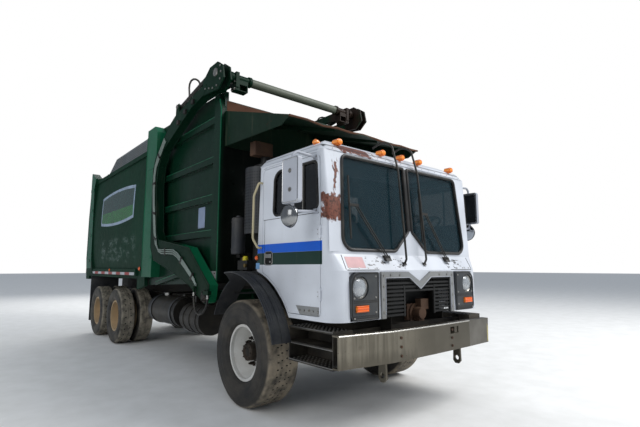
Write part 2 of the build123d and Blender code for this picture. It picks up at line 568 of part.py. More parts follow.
def cab():
    """Cab shell with floor, roof, glass and the two doors with their mirrors."""
    outer = cab_solid(0)
    shell = outer - cab_solid(CAB_WALL)
    shell += box(190, 1420, -1120, 1120, CAB_FLOOR_Z, CAB_FLOOR_Z + CAB_FLOOR_T) & outer
    opening = box(1300, 1600, -GRILLE_HALF_W, GRILLE_HALF_W, 900, GRILLE_TOP_Z + SEAT_GAP)
    notch = front_plate([(-GRILLE_NOTCH_HALF_W, GRILLE_TOP_Z + 5), (0, GRILLE_NOTCH_Z + 2 * SEAT_GAP),
                         (GRILLE_NOTCH_HALF_W, GRILLE_TOP_Z + 5)], 1300, 1600)
    shell -= opening - notch
    for side in (1, -1):
        shell -= pane_prism(side, 0)
        shell -= door_prism(side, 0)
        shell -= rod_y(0, FRONT_TYRE_R, side * 690, side * 1300, ARCH_R)
        shell -= box(1420, 1600, side * BEZEL_IN_Y, side * BEZEL_OUT_Y, BEZEL_LOW_Z, GRILLE_TOP_Z)
        shell -= rod_x(side * LAMP_Y, LAMP_Z, 1300, 1600, LAMP_R + 15)
    shell -= box(100, 300, -380, 380, 2060, 2400)
    shell -= box(100, 300, -TUNNEL_HALF_W, TUNNEL_HALF_W, CAB_BOTTOM_Z - 10, CAB_FLOOR_Z - 20)
    hinges = {side: door_hinges(side) for side in (1, -1)}
    for side in (1, -1):
        for pin in hinges[side][1]:
            shell += pin
    add("cab_shell", shell)
    roof_cab()
    skin = cab_solid(GLASS_INSET) - cab_solid(GLASS_INSET + GLASS_T)
    panes = [skin & pane_prism(side, -SEAT_GAP) for side in (1, -1)]
    rear_pane = skin & box(100, 300, -380 + SEAT_GAP, 380 - SEAT_GAP, 2060 + SEAT_GAP, 2400 - SEAT_GAP)
    add("cab_glass", panes, rear_pane)
    for name, side in (("left", 1), ("right", -1)):
        door = ((outer - cab_solid(CAB_WALL)) & door_prism(side, SWING_GAP)) - door_window(side, 0)
        for knuckle in hinges[side][0]:
            door += knuckle
        add(f"door_{name}", door)
        add(f"door_glass_{name}", skin & door_window(side, -SEAT_GAP))


def roof_form(inset, drop):
    """Crowned form of the roof, pulled in all round by inset and lowered by drop."""
    _, front, rear, corner = CAB_SECTIONS[-1]
    base = CAB_EAVES_Z + SEAT_GAP
    sections = [cab_section(base + (up - drop if up else -min(drop, 1)), front, rear, corner + ROOF_CORNER,
                            inset + pull) for up, pull in ROOF_SECTIONS]
    return loft(sections, ruled=True)


def roof_cab():
    """Crowned roof, hollow below, with a small overhang as a drip edge."""
    add("cab_roof", roof_form(-ROOF_OVERHANG, 0) - roof_form(CAB_WALL, ROOF_T))


def interior():
    """Seats, dashboard with steering column and wheel."""
    profile = [(380, 1700), (850, 1700), (850, 1800), (500, 1800), (400, 2360), (290, 2360)]
    seat = side_plate(profile, 440, 900, [30, 40, 40, 60, 40, 40])
    seat += box(480, 780, 520, 820, CAB_FLOOR_Z + CAB_FLOOR_T, 1710)
    add("seats", both(seat))
    dash = side_plate([(1190, 1520), (1300, 1520), (1285, 1800), (1120, 1780)], -1040, 1040)
    for y in (-1000, 960):
        dash += box(1200, 1290, y, y + 40, CAB_FLOOR_Z + CAB_FLOOR_T, 1530)
    column = bar((1200, 640, 1660), (1034, 640, 1961), 28)
    tilted = Plane(origin=(1040, 640, 1960), z_dir=(-160, 0, 290))
    wheel = tilted * Torus(225, 16)
    spokes = tilted * (Box(440, 40, 14) + Box(40, 440, 14))
    add("dashboard", dash + column + wheel + spokes)


def grille_outline(shrink):
    """Front outline of the grille surround with its notch, pulled in by shrink."""
    half, top = GRILLE_HALF_W - shrink, GRILLE_TOP_Z - shrink
    notch_half = max(GRILLE_NOTCH_HALF_W - 0.27 * shrink, 1)
    return [(-half, CAB_BOTTOM_Z + shrink * 0), (half, CAB_BOTTOM_Z + shrink * 0), (half, top),
            (notch_half, top), (0, GRILLE_NOTCH_Z - 1.13 * shrink), (-notch_half, top), (-half, top)]


def front_end():
    """Grille surround and bars, lamp bezels, lamps, wipers and the whip rods."""
    back = GRILLE_FACE_X - 34
    surround = front_plate(grille_outline(SEAT_GAP), back, GRILLE_FACE_X)
    hole = front_plate(grille_outline(GRILLE_FRAME_W), back - 10, GRILLE_FACE_X + 10)
    hole += box(back - 10, GRILLE_FACE_X + 10, -GRILLE_HALF_W + GRILLE_FRAME_W, GRILLE_HALF_W - GRILLE_FRAME_W,
                CAB_BOTTOM_Z - 10, CAB_BOTTOM_Z + 30)
    add("grille_frame", surround - hole)
    inside = front_plate(grille_outline(GRILLE_FRAME_W + SEAT_GAP), back + 2, back + 22)
    bars = inside - front_plate(grille_outline(GRILLE_FRAME_W + 16), back, back + 30)
    for k in range(9):
        z = 1010 + 38 * k
        low_middle = z < 1230
        spans = ((-530, -230), (250, 530)) if low_middle else ((-530, 530),)
        for y0, y1 in spans:
            bars += box(back + 4, back + 18, y0, y1, z, z + 20) & inside
    for y in (-250, 250):
        bars += box(back + 2, back + 20, y - 10, y + 10, CAB_BOTTOM_Z, 1300) & inside
    add("grille_bars", bars)
    bezel_lamps()
    wipers_and_rods()


def bezel_lamps():
    """Dark bezels let into the cab front, round headlamps, turn lamps and roof markers."""
    bezels, lamps, ambers = [], [], []
    for side in (1, -1):
        inner, outer = BEZEL_IN_Y + SEAT_GAP, BEZEL_OUT_Y - SEAT_GAP
        low, high = BEZEL_LOW_Z + SEAT_GAP, GRILLE_TOP_Z - SEAT_GAP
        corners = [(side * inner, low), (side * outer, low), (side * outer, high), (side * inner, high)]
        radii = [12, 60, 110, 12]
        if side < 0:
            corners, radii = corners[::-1], radii[::-1]
        bezel = front_plate(corners, 1420 + SEAT_GAP, 1468, radii)
        bezel -= rod_x(side * LAMP_Y, LAMP_Z, 1300, 1600, LAMP_R + 12)
        bezel -= box(1450, 1500, side * 790, side * 950, 1078, 1142)
        bezels.append(bezel)
        profile = [(r, 0, x) for r, x in LAMP_PROFILE]
        lamp = Rot(0, 90, 0) * revolve(make_face(Polyline(*profile, close=True)), Axis.Z)
        lamps.append(Pos(0, side * LAMP_Y, LAMP_Z) * lamp)
        ambers.append(box(1450 + SEAT_GAP, 1482, side * 793, side * 947, 1081, 1139))
    add("lamp_bezels", bezels)
    add("head_lamps", lamps)
    for y in (-944, -317, 0, 317, 944):
        front = 1250.0
        base = rod_x(y, 2680, front - 60, front + 12, 34) + rod_x(y, 2680, front + 12, front + 28, 28)
        ambers.append(base)
    roof = roof_form(-ROOF_OVERHANG - SEAT_GAP, 0)
    ambers = [lamp - roof if k > 1 else lamp for k, lamp in enumerate(ambers)]
    add("marker_lamps", ambers)


def slope_foot(y0, y1, low, high, out):
    """Foot that seats on the sloping front below the windscreen."""
    (z0, x0, _, _), (z1, x1, _, _) = CAB_SECTIONS[1:3]
    fall = (x1 - x0) / (z1 - z0)
    back = [(x0 + fall * (z - z0) + 2 * SEAT_GAP, z) for z in (low, high)]
    return side_plate([back[0], back[1], (back[1][0] + out, high), (back[0][0] + out, low)], y0, y1)


def wipers_and_rods():
    """Two wipers with twin arms, and two bent rods that arch over the roof's front edge."""
    wipers = []
    for pivot_y, tip_y, blade_y in WIPERS:
        block = slope_foot(pivot_y - 45, pivot_y + 30, 1540, 1596, 34)
        tip = (1362, tip_y, 2060)
        wiper = block
        for dy in (0, 32):
            wiper += bar((1400, pivot_y - 25 + dy, 1580), (tip[0] + 8, tip_y + dy, tip[2]), 6)
        wiper += box(tip[0], tip[0] + 16, blade_y - 10, tip_y + 46, tip[2] - 12, tip[2] + 12)
        wiper += bar((1382, blade_y, 1740), (1346, blade_y, 2340), 9)
        wipers.append(wiper)
    add("wipers", wipers)
    rods = []
    for y in (-190, 142):
        foot = slope_foot(y - 22, y + 22, 1500, 1530, 16)
        path = [(1415, y, 1515), (1440, y, 1560), (1420, y, 1810), (1350, y + 8, 2500), (1262, y + 20, 2790),
                (1170, y - 20, 2840), (1080, y - 90, 2775)]
        rods.append(foot + bent_tube(path, 11, [30, 200, 400, 90, 70]))
    add("guard_rods", rods)


def mirror_arms(name, side):
    """Tall flat mirror and round convex mirror on a tube loop fixed to the door's front edge."""
    skin = CAB_HALF_W + 2
    out = 1450.0
    points = [(1200, skin, 2500), (1195, out - 40, 2515), (1195, out, 2480), (1195, out, 2000),
              (1195, out - 60, 1975), (1200, skin, 1990)]
    loop = bent_tube([(x, side * y, z) for x, y, z in points], 13, [30, 26, 26, 30])
    feet = [box(1170, 1230, side * (skin - 1.7), side * (skin + 12), z - 25, z + 25) for z in (2500, 1990)]
    head = box(1075, 1315, side * (out - 14), side * (out + 30), 2040, 2450)
    head = fillet(head.edges().filter_by(Axis.Y), 24)
    back = [(0, 0, -8), (100, 0, -8), (100, 0, 4), (92, 0, 26), (70, 0, 48), (38, 0, 61), (0, 0, 65)]
    dish = revolve(make_face(Polyline(*back, close=True)), Axis.Z)
    bowl = Pos(1160, side * out, 1930) * Rot(-90 * side, 0, 0) * dish
    stem = box(1180, 1210, side * (out - 7), side * (out + 10), 1960, 2050)
    add(f"mirror_{name}", loop + feet + head + bowl + stem)


# Body fittings

def cab_fittings():
    """Steps, mudguards with stays, grab rails, exhaust and air cleaner."""
    steps = []
    x0, x1, y0, y1, low, high = 800.0, 1430.0, 950.0, 1185.0, 610.0, 930.0
    step = box(x0, x1, y0, y0 + 10, low, high)
    for z in (low, (low + high) / 2, high - 20):
        step += box(x0, x1, y0, y1, z, z + 20)
    for x in (x0, x1 - 10):
        step += box(x, x + 10, y0, y1, low, high)
    step += box(1240, 1290, RAIL_OUTER_Y, y0, 800, 900)
    steps += both(step)
    add("cab_steps", steps)
    guards = []
    outer = 872.0
    ring = rod_y(0, FRONT_TYRE_R, 915, 1405, outer) - rod_y(0, FRONT_TYRE_R, 860, 1410, outer - 12)
    groove = rod_y(0, FRONT_TYRE_R, 1290, 1306, outer + 5) - rod_y(0, FRONT_TYRE_R, 1280, 1310, outer - 7)
    ring -= groove
    ring -= side_plate([(0, FRONT_TYRE_R), (-1200, FRONT_TYRE_R + 500), (-1200, -600), (1300, -600),
                        (1300, FRONT_TYRE_R + 330)], 800, 1500)
    ring -= plan_plate([(120, 1420), (-120, 1406), (-420, 1168), (-1000, 1168), (-1000, 1420)], 0, 2000)
    ring -= box(130, 1000, 800, 1192, 0, 2000)
    for x in (-640, -60):
        top = FRONT_TYRE_R + sqrt(outer * outer - x * x)
        ring += box(x, x + 40, RAIL_OUTER_Y - 50, 1000, top - 8, top + 14)
        ring += box(x, x + 40, RAIL_OUTER_Y - 50, RAIL_OUTER_Y, RAIL_TOP_Z, top + 14)
    guards += both(ring)
    aft = TANDEM_X - TANDEM_SPREAD / 2 - REAR_TYRE_R - 90
    guards += both(box(aft - 12, aft, 590, 1200, 260, BODY_FLOOR_Z - SEAT_GAP))
    add("mudguards", guards)
    rails = []
    for side in (1, -1):
        near, y = side * (CAB_HALF_W + SEAT_GAP), side * (CAB_HALF_W + 45)
        path = [(281, near, 2390), (281, y, 2390), (180, y, 2260), (172, y, 1790), (278, y, 1685),
                (278, near, 1685)]
        rails.append(bent_tube(path, 12, [20, 60, 60, 20]))
    add("grab_rails", rails)
    shelf = box(-640, -200, -900, 900, 1250, 1300)
    for y in (RAIL_OUTER_Y - RAIL_FLANGE, -RAIL_OUTER_Y):
        shelf += box(-560, -280, y, y + RAIL_FLANGE, RAIL_TOP_Z, 1250)
    cleaner = rod_z(-430, 725, 1300, 2250, 170) + rod_z(-430, 725, 2250, 2420, 110)
    canister = rod_z(-520, -1010, 1640, 2090, 85) + box(-560, -480, -1010, -850, 1600, 1660)
    canister += box(-560, -480, -960, -850, 1300, 1640)
    valves = box(-400, -180, -1080, -965, 1450, 1560) + box(-500, -200, -970, -935, 1480, 1520)
    add("air_cleaner", shelf + cleaner + canister + valves)
    stack = rod_z(-300, -770, 1300 + SEAT_GAP, 2750, 140) + rod_z(-300, -770, 2750, 2900, 62)
    add("exhaust_stack", stack)


# Hopper and packer body

def hopper():
    """Open-topped hopper: ribbed side walls, front wall, floor, header and corner posts."""
    inner = HOPPER_HALF_W - HOPPER_WALL
    wall = side_plate([(HOPPER_FRONT_X, BODY_FLOOR_Z), (BODY_JOINT_X, BODY_FLOOR_Z - 100),
                       (BODY_JOINT_X, HOPPER_TOP_REAR_Z), (HOPPER_FRONT_X, HOPPER_TOP_FRONT_Z)],
                      inner, HOPPER_HALF_W)
    for z in RIB_ZS:
        wall += side_plate([(HOPPER_FRONT_X - 60, z - RIB_H), (PILLAR_FRONT_X + SEAT_GAP, z - RIB_H),
                            (PILLAR_FRONT_X + SEAT_GAP, z), (HOPPER_FRONT_X - 60, z)],
                           HOPPER_HALF_W - 10, HOPPER_HALF_W + RIB_OUT)
    post = [(HOPPER_FRONT_X + 20, 1300), (HOPPER_FRONT_X + 20, 3560), (HOPPER_FRONT_X - 30, 3700),
            (HOPPER_FRONT_X - 130, 3830), (HOPPER_FRONT_X - 170, 3780), (HOPPER_FRONT_X - 170, 1300)]
    wall += side_plate(post, HOPPER_HALF_W - 20, HOPPER_HALF_W + 60)
    sill = [(HOPPER_FRONT_X - 100, 1400), (-1970, 1400), (PILLAR_FRONT_X, 1246), (PILLAR_FRONT_X, 1190),
            (-1970, 1340), (HOPPER_FRONT_X - 100, 1340)]
    wall += side_plate(sill, HOPPER_HALF_W - 10, HOPPER_HALF_W + 60)
    tub = wall + mirrored(wall)
    tub += box(BODY_JOINT_X, HOPPER_FRONT_X, -inner, inner, BODY_FLOOR_Z, BODY_FLOOR_Z + BODY_FLOOR_T)
    tub += box(HOPPER_FRONT_X - 60, HOPPER_FRONT_X, -inner, inner, BODY_FLOOR_Z, HOPPER_FRONT_TOP_Z)
    tub += box(BODY_JOINT_X, BODY_JOINT_X + 60, -inner, inner, PACKER_EAVES_Z - 60, HOPPER_TOP_REAR_Z)
    add("hopper", tub)


def canopy():
    """Cab guard: sloping plate with side gussets that reaches over the cab."""
    root = HOPPER_FRONT_X + 20 + SEAT_GAP
    plate = side_plate([(root, 3540), (660, 3090), (660, 3076), (root, 3524)], -HOPPER_HALF_W, HOPPER_HALF_W)
    gusset = side_plate([(root, 3540), (660, 3090), (500, 3012), (root, 3055)],
                        HOPPER_HALF_W - 12, HOPPER_HALF_W)
    flange = box(root, root + 14, -HOPPER_HALF_W, HOPPER_HALF_W, 3055, 3520)
    ribs = None
    for y in (-380, 370):
        rib = side_plate([(root, 3530), (560, 3112), (560, 3080), (root, 3440)], y, y + 10)
        ribs = rib if ribs is None else ribs + rib
    add("canopy", plate + gusset + mirrored(gusset) + flange + ribs)


def packer_section(inset):
    """Front section of the packer body: bulged sides and a crowned roof."""
    low = BODY_FLOOR_Z + (BODY_FLOOR_T if inset else 0)
    side_y, bulge_y, eaves_y = PACKER_SIDE_Y - inset, PACKER_BULGE_Y - inset, PACKER_EAVES_Y - inset
    eaves_z, crown_z, knee = PACKER_EAVES_Z - inset, PACKER_CROWN_Z - inset, RAIL_LOW_Z
    mid = (knee + eaves_z) / 2
    lines = [Line((-side_y, low), (side_y, low)), Line((side_y, low), (side_y, knee)),
             ThreePointArc((side_y, knee), (bulge_y, mid), (eaves_y, eaves_z)),
             ThreePointArc((eaves_y, eaves_z), (0, crown_z), (-eaves_y, eaves_z)),
             ThreePointArc((-eaves_y, eaves_z), (-bulge_y, mid), (-side_y, knee)),
             Line((-side_y, knee), (-side_y, low))]
    return make_face(Curve() + lines)


def packer_prism(inset, x0, x1):
    """Length of the packer body's section along X."""
    plane = Plane(origin=(x0, 0, 0), x_dir=(0, 1, 0), z_dir=(1, 0, 0))
    return extrude(plane * packer_section(inset), x1 - x0)


def packer_body():
    """Rear body shell with rails and rear pillars, mid pillars, and the sign panels on the roof."""
    shell = packer_prism(0, BODY_REAR_X, BODY_JOINT_X)
    fittings = box(BODY_REAR_X, BODY_JOINT_X - 340, PACKER_SIDE_Y - 80, PACKER_BULGE_Y + 12,
                   RAIL_LOW_Z, RAIL_HIGH_Z)
    fittings += box(BODY_REAR_X, BODY_JOINT_X, PACKER_EAVES_Y - 90, PACKER_EAVES_Y + 34,
                    PACKER_EAVES_Z - 30, PACKER_EAVES_Z + 50)
    fittings += side_plate([(BODY_REAR_X, RAIL_LOW_Z), (BODY_REAR_X + 600, RAIL_LOW_Z), (BODY_REAR_X + 420, 1700),
                            (BODY_REAR_X + 300, 3400), (BODY_REAR_X + 420, 3600), (BODY_REAR_X + 60, 3770),
                            (BODY_REAR_X, 3770)], PACKER_SIDE_Y - 80, PACKER_SIDE_Y + 70)
    fittings += side_plate([(BODY_JOINT_X - 60, RAIL_LOW_Z), (BODY_JOINT_X - 450, RAIL_LOW_Z),
                            (BODY_JOINT_X - 450, 1094), (BODY_JOINT_X - 380, 1094), (BODY_JOINT_X - 60, 1160)],
                           PACKER_SIDE_Y - 80, PACKER_SIDE_Y - 20)
    lug_low = PACKER_EAVES_Z
    for y in (700, 860):
        fittings += side_plate([(TAILGATE_HINGE_X + 160, lug_low), (TAILGATE_HINGE_X + 60, TAILGATE_HINGE_Z + 30),
                                (TAILGATE_HINGE_X + 20, TAILGATE_HINGE_Z + 60),
                                (BODY_REAR_X, TAILGATE_HINGE_Z + 60),
                                (BODY_REAR_X, lug_low)], y, y + 40)
    shell += fittings + mirrored(fittings)
    shell -= packer_prism(PACKER_WALL, BODY_REAR_X - 10, BODY_JOINT_X + 10)
    shell -= rod_y(TAILGATE_HINGE_X, TAILGATE_HINGE_Z, -950, 950, HINGE_PIN_R + RUNNING_GAP)
    add("packer_body", shell)
    pillar = side_plate([(BODY_JOINT_X, 1320), (PILLAR_FRONT_X, 1320), (PILLAR_FRONT_X, 3760),
                         (PILLAR_FRONT_X - 130, HOPPER_TOP_REAR_Z), (BODY_JOINT_X, HOPPER_TOP_REAR_Z)],
                        HOPPER_HALF_W + SEAT_GAP, PILLAR_OUT_Y)
    add("mid_pillars", both(pillar))
    sign = side_plate([(-6100, PACKER_EAVES_Z + 50), (-3480, PACKER_EAVES_Z + 50), (-3480, 3800), (-5570, 3800)],
                      PACKER_EAVES_Y - 10, PACKER_EAVES_Y + 4)
    add("sign_panels", both(sign))


def tailgate():
    """Dished tailgate hung from two hinges on the roof."""
    front = BODY_REAR_X - SWING_GAP
    outline = [(front, 1200), (front, 3690), (front - 90, 3690), (-7740, 3250), (TAILGATE_REAR_X, 2700),
               (TAILGATE_REAR_X, 1700), (-7680, 1200)]
    hollow = [(front + 10, 1260), (front + 10, 3560), (front - 60, 3560), (-7680, 3200), (-7740, 2690),
              (-7740, 1720), (-7640, 1260)]
    gate = side_plate(outline, -PACKER_SIDE_Y, PACKER_SIDE_Y)
    gate -= side_plate(hollow, PACKER_WALL - PACKER_SIDE_Y, PACKER_SIDE_Y - PACKER_WALL)
    for z in (1900, 2500):
        gate += box(TAILGATE_REAR_X + 1, TAILGATE_REAR_X + 70, 80 - PACKER_SIDE_Y, PACKER_SIDE_Y - 80, z, z + 90)
    gate = gate & box(TAILGATE_REAR_X, front, -1300, 1300, 1000, 4000)
    for y in (747, -853):
        lug = side_plate([(front - 90, 3680), (TAILGATE_HINGE_X - 30, 3680), (TAILGATE_HINGE_X + 40, 3720),
                          (TAILGATE_HINGE_X + 45, TAILGATE_HINGE_Z + 40),
                          (TAILGATE_HINGE_X - 30, TAILGATE_HINGE_Z + 60),
                          (front - 90, TAILGATE_HINGE_Z - 20)], y, y + 106)
        lug = lug - box(front, TAILGATE_HINGE_X + 100, y - 1, y + 107, 3000, 3655)
        gate += lug
        gate += rod_y(TAILGATE_HINGE_X, TAILGATE_HINGE_Z, y - 46, y + 152, HINGE_PIN_R)
    add("tailgate", gate)


def packer_panel():
    """Pushing blade that slides along the hopper and body floor."""
    low = BODY_FLOOR_Z + BODY_FLOOR_T + SEAT_GAP
    half = HOPPER_HALF_W - HOPPER_WALL - 10
    blade = side_plate([(PANEL_REAR_X, low), (PANEL_REAR_X + 180, low), (PANEL_REAR_X + 180, low + 60),
                        (PANEL_REAR_X + 60, low + 60), (PANEL_REAR_X + 60, 2300), (PANEL_REAR_X + 160, 2420),
                        (PANEL_REAR_X + 120, 2450), (PANEL_REAR_X, 2330)], -half, half)
    for y in (-700, -240, 220, 680):
        blade += box(PANEL_REAR_X + 50, PANEL_REAR_X + 150, y, y + 20, low, 2320)
    add("packer_panel", blade)


# Lift arms, forks and cylinders

def lift_arms():
    """Both arms on one cross shaft: gooseneck box sections with forked tips and cylinder levers."""
    top = FORK_TUBE_Z
    outline = [(-745, 1062), (-722, 1130), (-700, 1262), (-1340, 1742), (-1580, 1775), (-2480, 1900),
               (-2600, 2040), (-2690, 2800), (-2640, 3080), (-2460, top - 660), (-1450, top - 260),
               (-1040, top - 190), (-960, top - 70), (-1180, top - 65), (-2040, top - 230), (-2290, top - 340),
               (-2460, top - 470), (-2800, top - 730), (-2885, 3070), (-2870, 2300), (-2840, 1800), (-2700, 1600),
               (-2000, 1440), (-1300, 1250), (-870, 1062)]
    arm = side_plate(outline, ARM_INNER_Y, ARM_OUTER_Y)
    arm += rod_y(ARM_PIVOT_X, ARM_PIVOT_Z, ARM_INNER_Y, ARM_OUTER_Y, 88)
    bracket = [(-1080, top - 200), (-1080, top), (-880, top + 130), (-660, top + 135), (-520, top + 40),
               (-480, top - 140), (-620, top - 250)]
    for y in (ARM_INNER_Y, ARM_OUTER_Y - ARM_TIP_PLATE_T):
        arm += side_plate(bracket, y, y + ARM_TIP_PLATE_T)
    slot_in, slot_out = ARM_INNER_Y + ARM_TIP_PLATE_T, ARM_OUTER_Y - ARM_TIP_PLATE_T
    arm -= rod_y(FORK_TUBE_X, FORK_TUBE_Z, slot_in, slot_out, 230)
    arm -= box(-1200, -800, slot_in, slot_out, top, top + 210)
    arm -= rod_y(FORK_TUBE_X, FORK_TUBE_Z, ARM_INNER_Y - 5, ARM_OUTER_Y + 5, FORK_PIN_R + RUNNING_GAP)
    ear = [(FORK_BASE_X - 60, FORK_BASE_Z - 150), (FORK_BASE_X + 60, FORK_BASE_Z - 110),
           (FORK_BASE_X + 50, FORK_BASE_Z + 40),
           (FORK_BASE_X - 50, FORK_BASE_Z + 40)]
    for y in (ARM_INNER_Y, ARM_OUTER_Y - 14):
        arm += side_plate(ear, y, y + 14)
    arm += rod_y(FORK_BASE_X, FORK_BASE_Z, ARM_INNER_Y, ARM_OUTER_Y, CYLINDER_PIN_R)
    (start_x, start_out, start_z), (end_x, end_out, end_z) = HOSE_ROUTE[0], HOSE_ROUTE[-1]
    arm += rod_z(start_x, ARM_OUTER_Y + start_out, start_z, start_z + 75, HOSE_R + 4)
    arm += box(start_x - 25, start_x + 25, ARM_OUTER_Y - 5, ARM_OUTER_Y + start_out, start_z + 50, start_z + 100)
    arm += box(end_x - 115, end_x + 25, ARM_OUTER_Y - 20, ARM_OUTER_Y + end_out + 14, end_z, end_z + 50)
    lever = [(ARM_PIVOT_X - 90, ARM_PIVOT_Z + 20), (ARM_PIVOT_X + 90, ARM_PIVOT_Z + 20),
             (ARM_PIVOT_X + LIFT_EYE_DX + 60, ARM_PIVOT_Z + LIFT_EYE_DZ),
             (ARM_PIVOT_X + LIFT_EYE_DX, ARM_PIVOT_Z + LIFT_EYE_DZ - 60),
             (ARM_PIVOT_X + LIFT_EYE_DX - 60, ARM_PIVOT_Z + LIFT_EYE_DZ)]
    for y in (LIFT_CYLINDER_Y - 66, LIFT_CYLINDER_Y + 46):
        arm += side_plate(lever, y, y + 20)
    shaft = rod_y(ARM_PIVOT_X, ARM_PIVOT_Z, 0, ARM_INNER_Y + 1, ARM_SHAFT_R)
    side = arm + shaft
    add("lift_arms", side + mirrored(side))


def forks():
    """Cross tube with two bolted carriers, two tines folded back and a lever at each end."""
    tube = rod_y(FORK_TUBE_X, FORK_TUBE_Z, 0, ARM_INNER_Y - 25, FORK_TUBE_R)
    tube += rod_y(FORK_TUBE_X, FORK_TUBE_Z, ARM_INNER_Y - 75, ARM_OUTER_Y - 2, FORK_PIN_R)
    carrier = box(FORK_TUBE_X - 60, FORK_TUBE_X + 60, 850, 1035, FORK_TUBE_Z - 180, FORK_TUBE_Z - 30)
    carrier -= box(FORK_TUBE_X - 36, FORK_TUBE_X + 70, 862, 975, FORK_TUBE_Z - 170, FORK_TUBE_Z - 90)
    carrier += box(FORK_TUBE_X - 70, FORK_TUBE_X + 70, 985, 1035, FORK_TUBE_Z - 140, FORK_TUBE_Z + 70)
    tine = side_plate([(FORK_TUBE_X, FORK_TUBE_Z + 70), (FORK_TUBE_X - FORK_REACH + 260, FORK_TUBE_Z + 60),
                       (FORK_TUBE_X - FORK_REACH, FORK_TUBE_Z), (FORK_TUBE_X - FORK_REACH, FORK_TUBE_Z - 30),
                       (FORK_TUBE_X - 400, FORK_TUBE_Z - 62), (FORK_TUBE_X, FORK_TUBE_Z - 90)], 992, 1028)
    eye_x, eye_z = FORK_TUBE_X + FORK_EYE_DX, FORK_TUBE_Z + FORK_EYE_DZ
    lever = None
    for y in (CYLINDER_Y - 38, CYLINDER_Y + 24):
        plate = side_plate([(FORK_TUBE_X - 50, FORK_TUBE_Z - 50), (FORK_TUBE_X + 60, FORK_TUBE_Z),
                            (FORK_TUBE_X + 20, FORK_TUBE_Z + 60), (eye_x + 20, eye_z + 42),
                            (eye_x - 42, eye_z + 10),
                            (eye_x - 20, eye_z - 42)], y, y + 14)
        lever = plate if lever is None else lever + plate
    side = tube + carrier + tine + lever
    add("forks", side + mirrored(side))


def hoses():
    """Oil hose that hangs in a loop from each arm's foot, with bends as wide as its runs allow."""
    points = [Vector(x, ARM_OUTER_Y + out, z) for x, out, z in HOSE_ROUTE]
    bends = []
    for a, b, c in zip(points, points[1:], points[2:]):
        before, after = b - a, c - b
        half_turn = radians(before.get_angle(after)) / 2
        bends.append(RUN_SHARE * min(before.length, after.length) * cos(half_turn) / sin(half_turn))
    print("hose bends", [round(bend) for bend in bends])
    path = FilletPolyline(*points, radius=bends)
    hose = sweep(Plane(origin=path @ 0, z_dir=path % 0) * Circle(HOSE_R), path=path)
    print("hose length", round(path.length), "section times length over volume",
          round(Circle(HOSE_R).area * path.length / hose.volume, 4))
    add("arm_hose_left", hose)
    add("arm_hose_right", mirrored(hose))


def cylinder(base, eye, y, barrel_r, rod_radius, eye_half, rod_out):
    """Hydraulic cylinder in the XZ plane: barrel with its base eye, and rod with its end eye."""
    a, b = Vector(base[0], y, base[1]), Vector(eye[0], y, eye[1])
    along = (b - a).normalized()
    start, finish = a + along * 75, b - along * rod_out
    barrel = bar(start, finish, barrel_r) + rod_y(base[0], base[1], y - eye_half, y + eye_half, 48)
    barrel += bar(a, start, 30)
    barrel -= rod_y(base[0], base[1], y - 80, y + 80, CYLINDER_PIN_R + RUNNING_GAP)
    barrel -= bar(a + along * 120, b, rod_radius + RUNNING_GAP)
    rod = bar(a + along * 700 if (b - a).length > 1500 else a + along * 500, b, rod_radius)
    rod += rod_y(eye[0], eye[1], y - eye_half + 4, y + eye_half - 4, 42)
    return barrel, rod


def cylinders():
    """Pairs of lift cylinders under the body and fork cylinders on the arms."""
    eye = (ARM_PIVOT_X + LIFT_EYE_DX, ARM_PIVOT_Z + LIFT_EYE_DZ)
    barrel, rod = cylinder((LIFT_BASE_X, LIFT_BASE_Z), eye, LIFT_CYLINDER_Y, 65, 38, 44, 640)
    add("lift_barrels", both(barrel))
    add("lift_rods", both(rod))
    eye = (FORK_TUBE_X + FORK_EYE_DX, FORK_TUBE_Z + FORK_EYE_DZ)
    barrel, rod = cylinder((FORK_BASE_X, FORK_BASE_Z), eye, CYLINDER_Y, 34, 20, 26, 200)
    add("fork_barrels", both(barrel))
    add("fork_rods", both(rod))


def main():
    """Build every sub-assembly and write one STEP file per node."""
    front_wheels()
    rear_wheels()
    front_axle()
    knuckles()
    rear_axles()
    frame_rails()
    drive_line()
    side_tanks()
    bumper()
    cab()
    interior()
    front_end()
    mirror_arms("left", 1)
    mirror_arms("right", -1)
    cab_fittings()
    hopper()
    canopy()
    packer_body()
    tailgate()
    packer_panel()
    lift_arms()
    forks()
    cylinders()
    hoses()
    os.makedirs("parts", exist_ok=True)
    for name, solids in NODES.items():
        export_step(Compound(solids), f"parts/{name}.step")


main()
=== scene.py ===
"""Front-loading refuse truck: finishes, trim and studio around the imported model."""
from __future__ import annotations

import logging
from dataclasses import dataclass, field
from enum import Enum
from math import cos, pi, radians, sin, sqrt, tan
from typing import Iterable, Sequence, Union

import bmesh
import bpy
from mathutils import Matrix, Vector


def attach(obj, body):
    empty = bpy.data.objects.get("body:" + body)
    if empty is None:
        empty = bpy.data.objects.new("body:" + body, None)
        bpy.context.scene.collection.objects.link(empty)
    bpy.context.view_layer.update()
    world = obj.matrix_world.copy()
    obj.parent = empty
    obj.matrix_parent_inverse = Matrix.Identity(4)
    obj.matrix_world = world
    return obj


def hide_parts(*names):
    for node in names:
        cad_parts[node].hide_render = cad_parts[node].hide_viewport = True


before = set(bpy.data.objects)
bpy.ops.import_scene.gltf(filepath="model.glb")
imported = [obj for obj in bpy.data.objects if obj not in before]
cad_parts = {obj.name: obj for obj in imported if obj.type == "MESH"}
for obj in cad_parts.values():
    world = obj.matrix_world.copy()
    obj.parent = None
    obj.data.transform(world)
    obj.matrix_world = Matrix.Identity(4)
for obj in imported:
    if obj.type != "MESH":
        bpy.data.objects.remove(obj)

LOG = logging.getLogger("truck")
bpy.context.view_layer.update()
SHIFT = 3.09                # the front axle's X in the truck's frame
SIDES = {"left": 1.0, "right": -1.0}
BOTH = tuple(SIDES.values())
